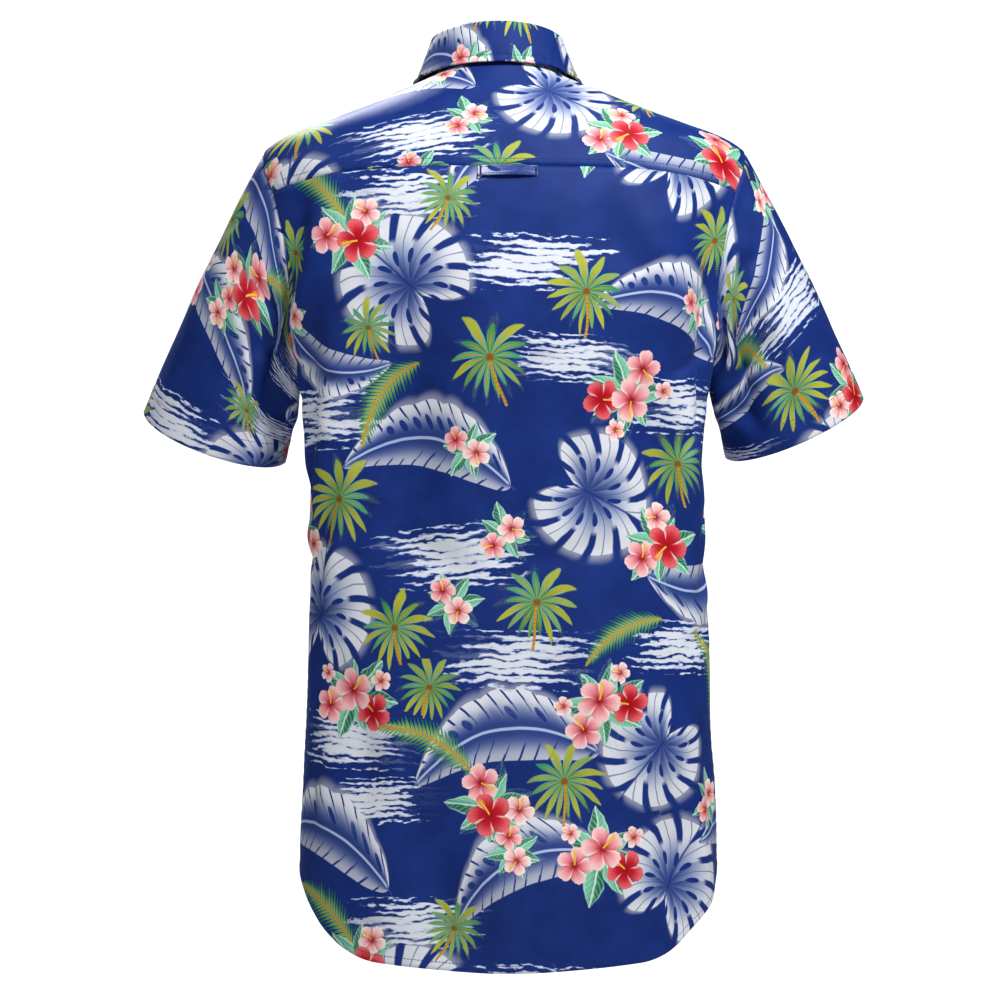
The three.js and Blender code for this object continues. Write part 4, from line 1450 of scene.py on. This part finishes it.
# For each face, the motif of a layer that it lies in, and that motif's coordinates at its corners
def stamp_corners(layer, corners):
    centres = corners.mean(axis=1)
    found = np.full((*corners.shape[:2], 3), (FAR_OFF, FAR_OFF, 0.0))
    nearest = np.ones(len(corners))
    for name, kind, x, y, size, turn, tone in STAMPS:
        if name != layer:
            continue
        _, half_width, half_height, rise = MOTIFS[kind]
        off = centres - (x, y)
        off = (off + REPEAT / 2) % REPEAT - REPEAT / 2
        c, s = np.cos(np.radians(turn)), np.sin(np.radians(turn))
        turned = np.array([[c, -s], [s, c]]) / size
        own = off @ turned
        far = np.maximum(np.abs(own[:, 0]) / half_width, np.abs(own[:, 1] - rise) / half_height)
        here = far < nearest
        nearest[here] = far[here]
        at = (corners[here] - centres[here][:, None] + off[here][:, None]) @ turned
        found[here, :, :2] = at
        found[here, :, 2] = 1 + LAYERS[layer].index(kind) + tone
    return found


# Where each panel is laid on the printed cloth: shift across and along
CUT_AT = {
    "cloth_back": (220, 0),
    "cloth_yoke": (190, 250),
    "cloth_front_left": (60, 310),
    "cloth_front_right": (330, 140),
    "cloth_sleeve_left": (150, 90),
    "cloth_sleeve_right": (20, 460),
    "cloth_collar_stand": (120, 210),
    "cloth_collar_leaf": (10, 480),
    "cloth_placket": (250, 60),
    "cloth_locker_loop": (100, 130),
}


def motif_group(name, draw):
    group = bpy.data.node_groups.new(name, "ShaderNodeTree")
    for label in ("X", "Y", "Tone"):
        group.interface.new_socket(label, in_out="INPUT", socket_type="NodeSocketFloat")
    group.interface.new_socket("Colour", in_out="OUTPUT", socket_type="NodeSocketColor")
    group.interface.new_socket("Cover", in_out="OUTPUT", socket_type="NodeSocketFloat")
    source = group.nodes.new("NodeGroupInput")
    target = group.nodes.new("NodeGroupOutput")
    colour, cover = draw(*(Number(source.outputs[i], group) for i in range(3)))
    plug(group, colour, target.inputs[0])
    plug(group, cover, target.inputs[1])
    return group


def read_attribute(tree, name, output):
    node = tree.nodes.new("ShaderNodeAttribute")
    node.attribute_name = name
    return node.outputs[output]


# How much paler the print shows on the inner face, the pitch of the weave, and the height and
# strength of its bump
REVERSE_SHARE = 0.42
WEAVE = 0.55
BUMP_HEIGHT = 0.00006
BUMP_STRENGTH = 0.25
# Keeps a motif's code clear of the whole number below it
CODE_MARGIN = 0.0005
FINISH = {
    "Roughness": 0.55,
    "Specular IOR Level": 0.19,
    "Sheen Weight": 0.06,
    "Sheen Roughness": 0.4,
    "Sheen Tint": (0.5, 0.62, 1.0, 1),
}


def new_material(name):
    material = bpy.data.materials.new(name)
    material.use_nodes = True
    return material, material.node_tree.nodes["Principled BSDF"]


def read_numbers(tree, name):
    split = tree.nodes.new("ShaderNodeSeparateXYZ")
    tree.links.new(read_attribute(tree, name, "Vector"), split.inputs[0])
    return [Number(output, tree) for output in split.outputs]


def printed_cotton():
    material, shader = new_material("printed_cotton")
    tree = material.node_tree
    groups = {kind: motif_group(f"motif_{kind}", motif[0]) for kind, motif in MOTIFS.items()}
    u, v = [metres * (1 / MM) for metres in read_numbers(tree, "flat")[:2]]
    dye = noise(u, v, 0.035, detail=3)
    colour = blend(GROUND_DEEP, GROUND, step(dye, 0.3, 0.7))
    for layer, kinds in LAYERS.items():
        x, y, code = read_numbers(tree, layer)
        number = whole(code + CODE_MARGIN)
        tone = fraction(code + CODE_MARGIN)
        for index, kind in enumerate(kinds):
            node = tree.nodes.new("ShaderNodeGroup")
            node.node_tree = groups[kind]
            for value, socket in zip((x, y, tone), node.inputs):
                plug(tree, value, socket)
            cover = Number(node.outputs[1], tree) * calc("COMPARE", number, 1.0 + index, 0.1)
            colour = blend(colour, node.outputs[0], cover)
    reverse = Number(read_attribute(tree, "reverse", "Fac"), tree)
    colour = blend(colour, REVERSE, reverse * REVERSE_SHARE)
    plug(tree, colour, shader.inputs["Base Color"])
    warp = sine(u * (TAU / WEAVE))
    weft = sine(v * (TAU / WEAVE))
    slubs_up = noise(u * 0.2, v * 1.4, 1.0) * 0.8
    slubs_across = noise(u * 1.4, v * 0.2, 1.0) * 0.8
    threads = warp * weft + slubs_up + slubs_across
    bump = tree.nodes.new("ShaderNodeBump")
    bump.inputs["Strength"].default_value = BUMP_STRENGTH
    bump.inputs["Distance"].default_value = BUMP_HEIGHT
    plug(tree, threads, bump.inputs["Height"])
    tree.links.new(bump.outputs["Normal"], shader.inputs["Normal"])
    for name, value in FINISH.items():
        shader.inputs[name].default_value = value
    return material


# Shirt button: a dished disc with a round rim, four holes and thread through them
BUTTON_FLOOR = 1.85
BUTTON_FLOOR_RADIUS = 3.6
BUTTON_FLOOR_ROWS = 27
BUTTON_CENTRE = 0.02
BUTTON_COLUMNS = 72
BUTTON_CLEAR = 0.3
BUTTON_PROFILE = [
    # radius, height
    (BUTTON_CENTRE, 0), (4.6, 0), (5.15, 0.2), (5.5, 0.7), (5.6, 1.3), (5.52, 1.95),
    (5.3, 2.4), (5.0, 2.58), (4.65, 2.52), (4.35, 2.25), (4.1, 2.0), (3.8, 1.88),
]
HOLE_AT = 1.2
HOLE_RADIUS = 0.62
HOLE_EDGE = 0.24
HOLE_DEPTH = 1.4
STRAND_PITCH = 0.24
BUTTONHOLE_LENGTH = 15.5
BUTTONHOLE_HALF_WIDTH = 0.75


def upright_frame(normal):
    across = unit(np.cross(normal, [0, 0, 1.0]))
    return across, unit(np.cross(across, normal))


def button_mesh(place_at, normal):
    columns = BUTTON_COLUMNS
    floor_radii = np.linspace(BUTTON_FLOOR_RADIUS, BUTTON_CENTRE, BUTTON_FLOOR_ROWS)
    radii = [r for r, _ in BUTTON_PROFILE] + list(floor_radii)
    heights = [h for _, h in BUTTON_PROFILE] + [BUTTON_FLOOR] * BUTTON_FLOOR_ROWS
    turns = np.arange(columns) * TAU / columns
    r, turn = np.meshgrid(radii, turns, indexing="ij")
    x, y = r * np.cos(turn), r * np.sin(turn)
    height = np.broadcast_to(np.array(heights)[:, None], r.shape).copy()
    top = np.arange(len(radii)) >= len(BUTTON_PROFILE)
    off = np.hypot(np.abs(x) - HOLE_AT, np.abs(y) - HOLE_AT)
    hole = 1 - smooth((off - HOLE_RADIUS + HOLE_EDGE / 2) / HOLE_EDGE)
    height[top] -= (HOLE_DEPTH * hole)[top]
    across, up = upright_frame(normal)
    points = place_at + x[..., None] * across + y[..., None] * up + height[..., None] * normal
    i, j = np.meshgrid(np.arange(len(radii) - 1), np.arange(columns), indexing="ij")
    a, b = i * columns + j, i * columns + (j + 1) % columns
    faces = np.stack([a, a + columns, b + columns, b], -1).reshape(-1, 4)
    if np.dot(np.cross(across, up), normal) > 0:
        faces = faces[:, ::-1]
    return points.reshape(-1, 3), faces


def button_thread(place_at, normal):
    across, up = upright_frame(normal)
    floor_at = place_at + normal * (BUTTON_FLOOR + 0.1)
    spots = [
        floor_at + across * strand + up * (row * HOLE_AT + strand * 0.9)
        for row in (-1, 1)
        for strand in (-STRAND_PITCH, 0.0, STRAND_PITCH)
    ]
    return thread_bars(np.array(spots), across, normal, *BUTTON_BAR)


# A slit edged with close bars of thread, with a heavier bar at each end
def buttonhole(middle, normal, length):
    across, up = upright_frame(normal)
    steps = np.arange(-length / 2 + 1, length / 2 - 0.9, 0.46)
    edges = (-BUTTONHOLE_HALF_WIDTH, BUTTONHOLE_HALF_WIDTH)
    centres = [middle + up * t + across * edge for t in steps for edge in edges]
    reach = length / 2 - 0.5
    spread = np.arange(-1.1, 1.2, 0.44)
    ends = [middle + up * end + across * t for end in (-reach, reach) for t in spread]
    return join_parts([
        thread_bars(np.array(centres), across, normal, *HOLE_SIDE_BAR),
        thread_bars(np.array(ends), up, normal, *HOLE_END_BAR),
    ])


# Close bars of thread across the end of the loop
def bar_tack(panel, column):
    points, normals = panel.points[:, column], panel.normals[:, column]
    run = run_of(points)
    at = np.arange(0.4, run[-1] - 0.3, 0.45)
    middle = len(points) // 2
    across = unit(panel.points[middle, column + 1] - panel.points[middle, column])
    return thread_bars(sample(run, points, at), across, sample(run, normals, at), *TACK_BAR)


# The yoke's foot between the armholes, where it is sewn down on the back
def yoke_seam_line(panel):
    line, facing = line_along(panel, "foot", SEAM_STITCH)
    reach = np.abs(body_form(*armhole_place(YOKE_BACK_TURN))[0]) - 8
    keep = (np.abs(line[:, 0]) < reach) & (line[:, 1] > 0)
    return line[keep], facing[keep]


def stitches_of(panel):
    rows = []
    for side, distance, cut, both_faces in SEWN[panel.name]:
        rows.append(stitch_line(*line_along(panel, side, distance, cut)))
        if both_faces:
            rows.append(stitch_line(*line_along(panel, side, distance, cut, inside=True)))
    if panel.name == "cloth_yoke":
        rows.append(stitch_line(*yoke_seam_line(panel)))
    if panel.name == "cloth_locker_loop":
        rows += [bar_tack(panel, 1), bar_tack(panel, -3)]
    return rows


def plain_material(name, colour, roughness):
    material, shader = new_material(name)
    shader.inputs["Base Color"].default_value = (*colour, 1)
    shader.inputs["Roughness"].default_value = roughness
    return material


def add_piece(name, parts, material):
    piece = to_mesh(name, *join_parts(parts), [material])
    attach(piece, "root")
    return piece


def add_attribute(mesh, name, kind, domain, field, values):
    attribute = mesh.attributes.new(name, kind, domain)
    attribute.data.foreach_set(field, values.astype(np.float32).ravel())


# Each panel as a shell of printed cotton with its stitching, held by the root in place of its solid
cotton = printed_cotton()
thread = plain_material("sewing_thread", (0.02, 0.045, 0.19), 0.5)
button_blue = plain_material("button_plastic", (0.16, 0.22, 0.42), 0.22)
panels = [
    back_panel(), yoke_panel(), front_panel(1), front_panel(-1), sleeve_panel(1), sleeve_panel(-1),
    stand_panel(), leaf_panel(), placket_panel(), loop_panel(),
]
for panel in panels:
    piece, corner_flat, inside = shell(panel, cotton)
    for layer in LAYERS:
        values = stamp_corners(layer, corner_flat + CUT_AT[panel.name])
        add_attribute(piece.data, layer, "FLOAT_VECTOR", "CORNER", "vector", values)
    add_attribute(piece.data, "reverse", "FLOAT", "FACE", "value", inside)
    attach(piece, "root")
    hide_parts(panel.node)
    sewing_name = "stitches_" + panel.name.removeprefix("cloth_")
    sewing = add_piece(sewing_name, stitches_of(panel), thread)

spots = []
for i in range(BUTTON_COUNT):
    level = level_at_height(180.0, BUTTON_TOP_Z - BUTTON_PITCH * i)
    point, normal = body_cloth(np.array(180.0), np.array(level))
    spots.append((f"button_{i + 1}", point + normal * (LAYER_GAP + PLACKET_WALL), normal))
point, normal = stand_cloth(np.array(180.0), np.array(0.5))
spots.append(("button_collar", point, normal))
holes = []
for node, point, normal in spots:
    raised = point + normal * BUTTON_CLEAR
    disc = button_mesh(raised, normal)
    button = add_piece("shirt_" + node, [disc], button_blue)
    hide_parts(node)
    add_piece("thread_" + node, [button_thread(raised, normal)], thread)
    if node != "button_collar":
        holes.append(buttonhole(point, normal, BUTTONHOLE_LENGTH))
add_piece("buttonholes", holes, thread)

# Studio, in metres: the camera looks along -Y at the back, as in the photograph
CAMERA_DISTANCE = 4.2
FRAME_WIDTH = 0.87
SENSOR = 36
MIDDLE_X = 0.0035
MIDDLE_Z = -0.352
AMBIENT = 0.03
FLOOR_Z = -1.25
FLOOR_RADIUS = 3.0
AIM = Vector((0, 0, -0.3))
LIGHTS = [
    # name, place, size, energy
    ("key", (-0.55, 1.2, 1.15), 0.3, 28),
    ("fill", (0.3, 3.7, 0.3), 0.9, 9.5),
    ("front key", (0.55, -1.2, 1.15), 0.3, 28),
    ("front fill", (-0.3, -3.7, 0.3), 0.9, 9.5),
    ("left side", (2.3, 0.9, 1.7), 0.8, 20),
    ("right side", (-2.3, 0.9, 1.7), 0.8, 22),
]

scene = bpy.context.scene
camera_data = bpy.data.cameras.new("camera")
camera = bpy.data.objects.new("camera", camera_data)
scene.collection.objects.link(camera)
camera.location = (MIDDLE_X, CAMERA_DISTANCE, MIDDLE_Z)
camera.rotation_euler = (np.pi / 2, 0, np.pi)
camera_data.sensor_width = SENSOR
camera_data.lens = SENSOR * CAMERA_DISTANCE / FRAME_WIDTH
scene.camera = camera

scene.view_settings.view_transform = "Standard"
scene.view_settings.look = "Medium High Contrast"
world = bpy.data.worlds.new("studio")
scene.world = world
world.use_nodes = True
nodes = world.node_tree.nodes
background = nodes["Background"]
background.inputs["Color"].default_value = (1, 1, 1, 1)
ray = nodes.new("ShaderNodeLightPath")
level = nodes.new("ShaderNodeMapRange")
level.inputs["To Min"].default_value = AMBIENT
level.inputs["To Max"].default_value = 1.0
world.node_tree.links.new(ray.outputs["Is Camera Ray"], level.inputs["Value"])
world.node_tree.links.new(level.outputs["Result"], background.inputs["Strength"])

for name, place_at, light_size, energy in LIGHTS:
    lamp_data = bpy.data.lights.new(name, "AREA")
    lamp_data.energy = energy
    lamp_data.size = light_size
    lamp = bpy.data.objects.new(name, lamp_data)
    lamp.location = place_at
    lamp.rotation_euler = (AIM - lamp.location).to_track_quat("-Z", "Y").to_euler()
    scene.collection.objects.link(lamp)

bpy.ops.mesh.primitive_circle_add(
    vertices=96, radius=FLOOR_RADIUS, fill_type="NGON", location=(0, 0, FLOOR_Z),
)
floor = bpy.context.object
floor.name = "floor"
floor_material = plain_material("floor", (0.3, 0.3, 0.3), 0.9)
floor_shader = floor_material.node_tree.nodes["Principled BSDF"]
floor_shader.inputs["Emission Color"].default_value = (1, 1, 1, 1)
floor_shader.inputs["Emission Strength"].default_value = 0.45
floor.data.materials.append(floor_material)
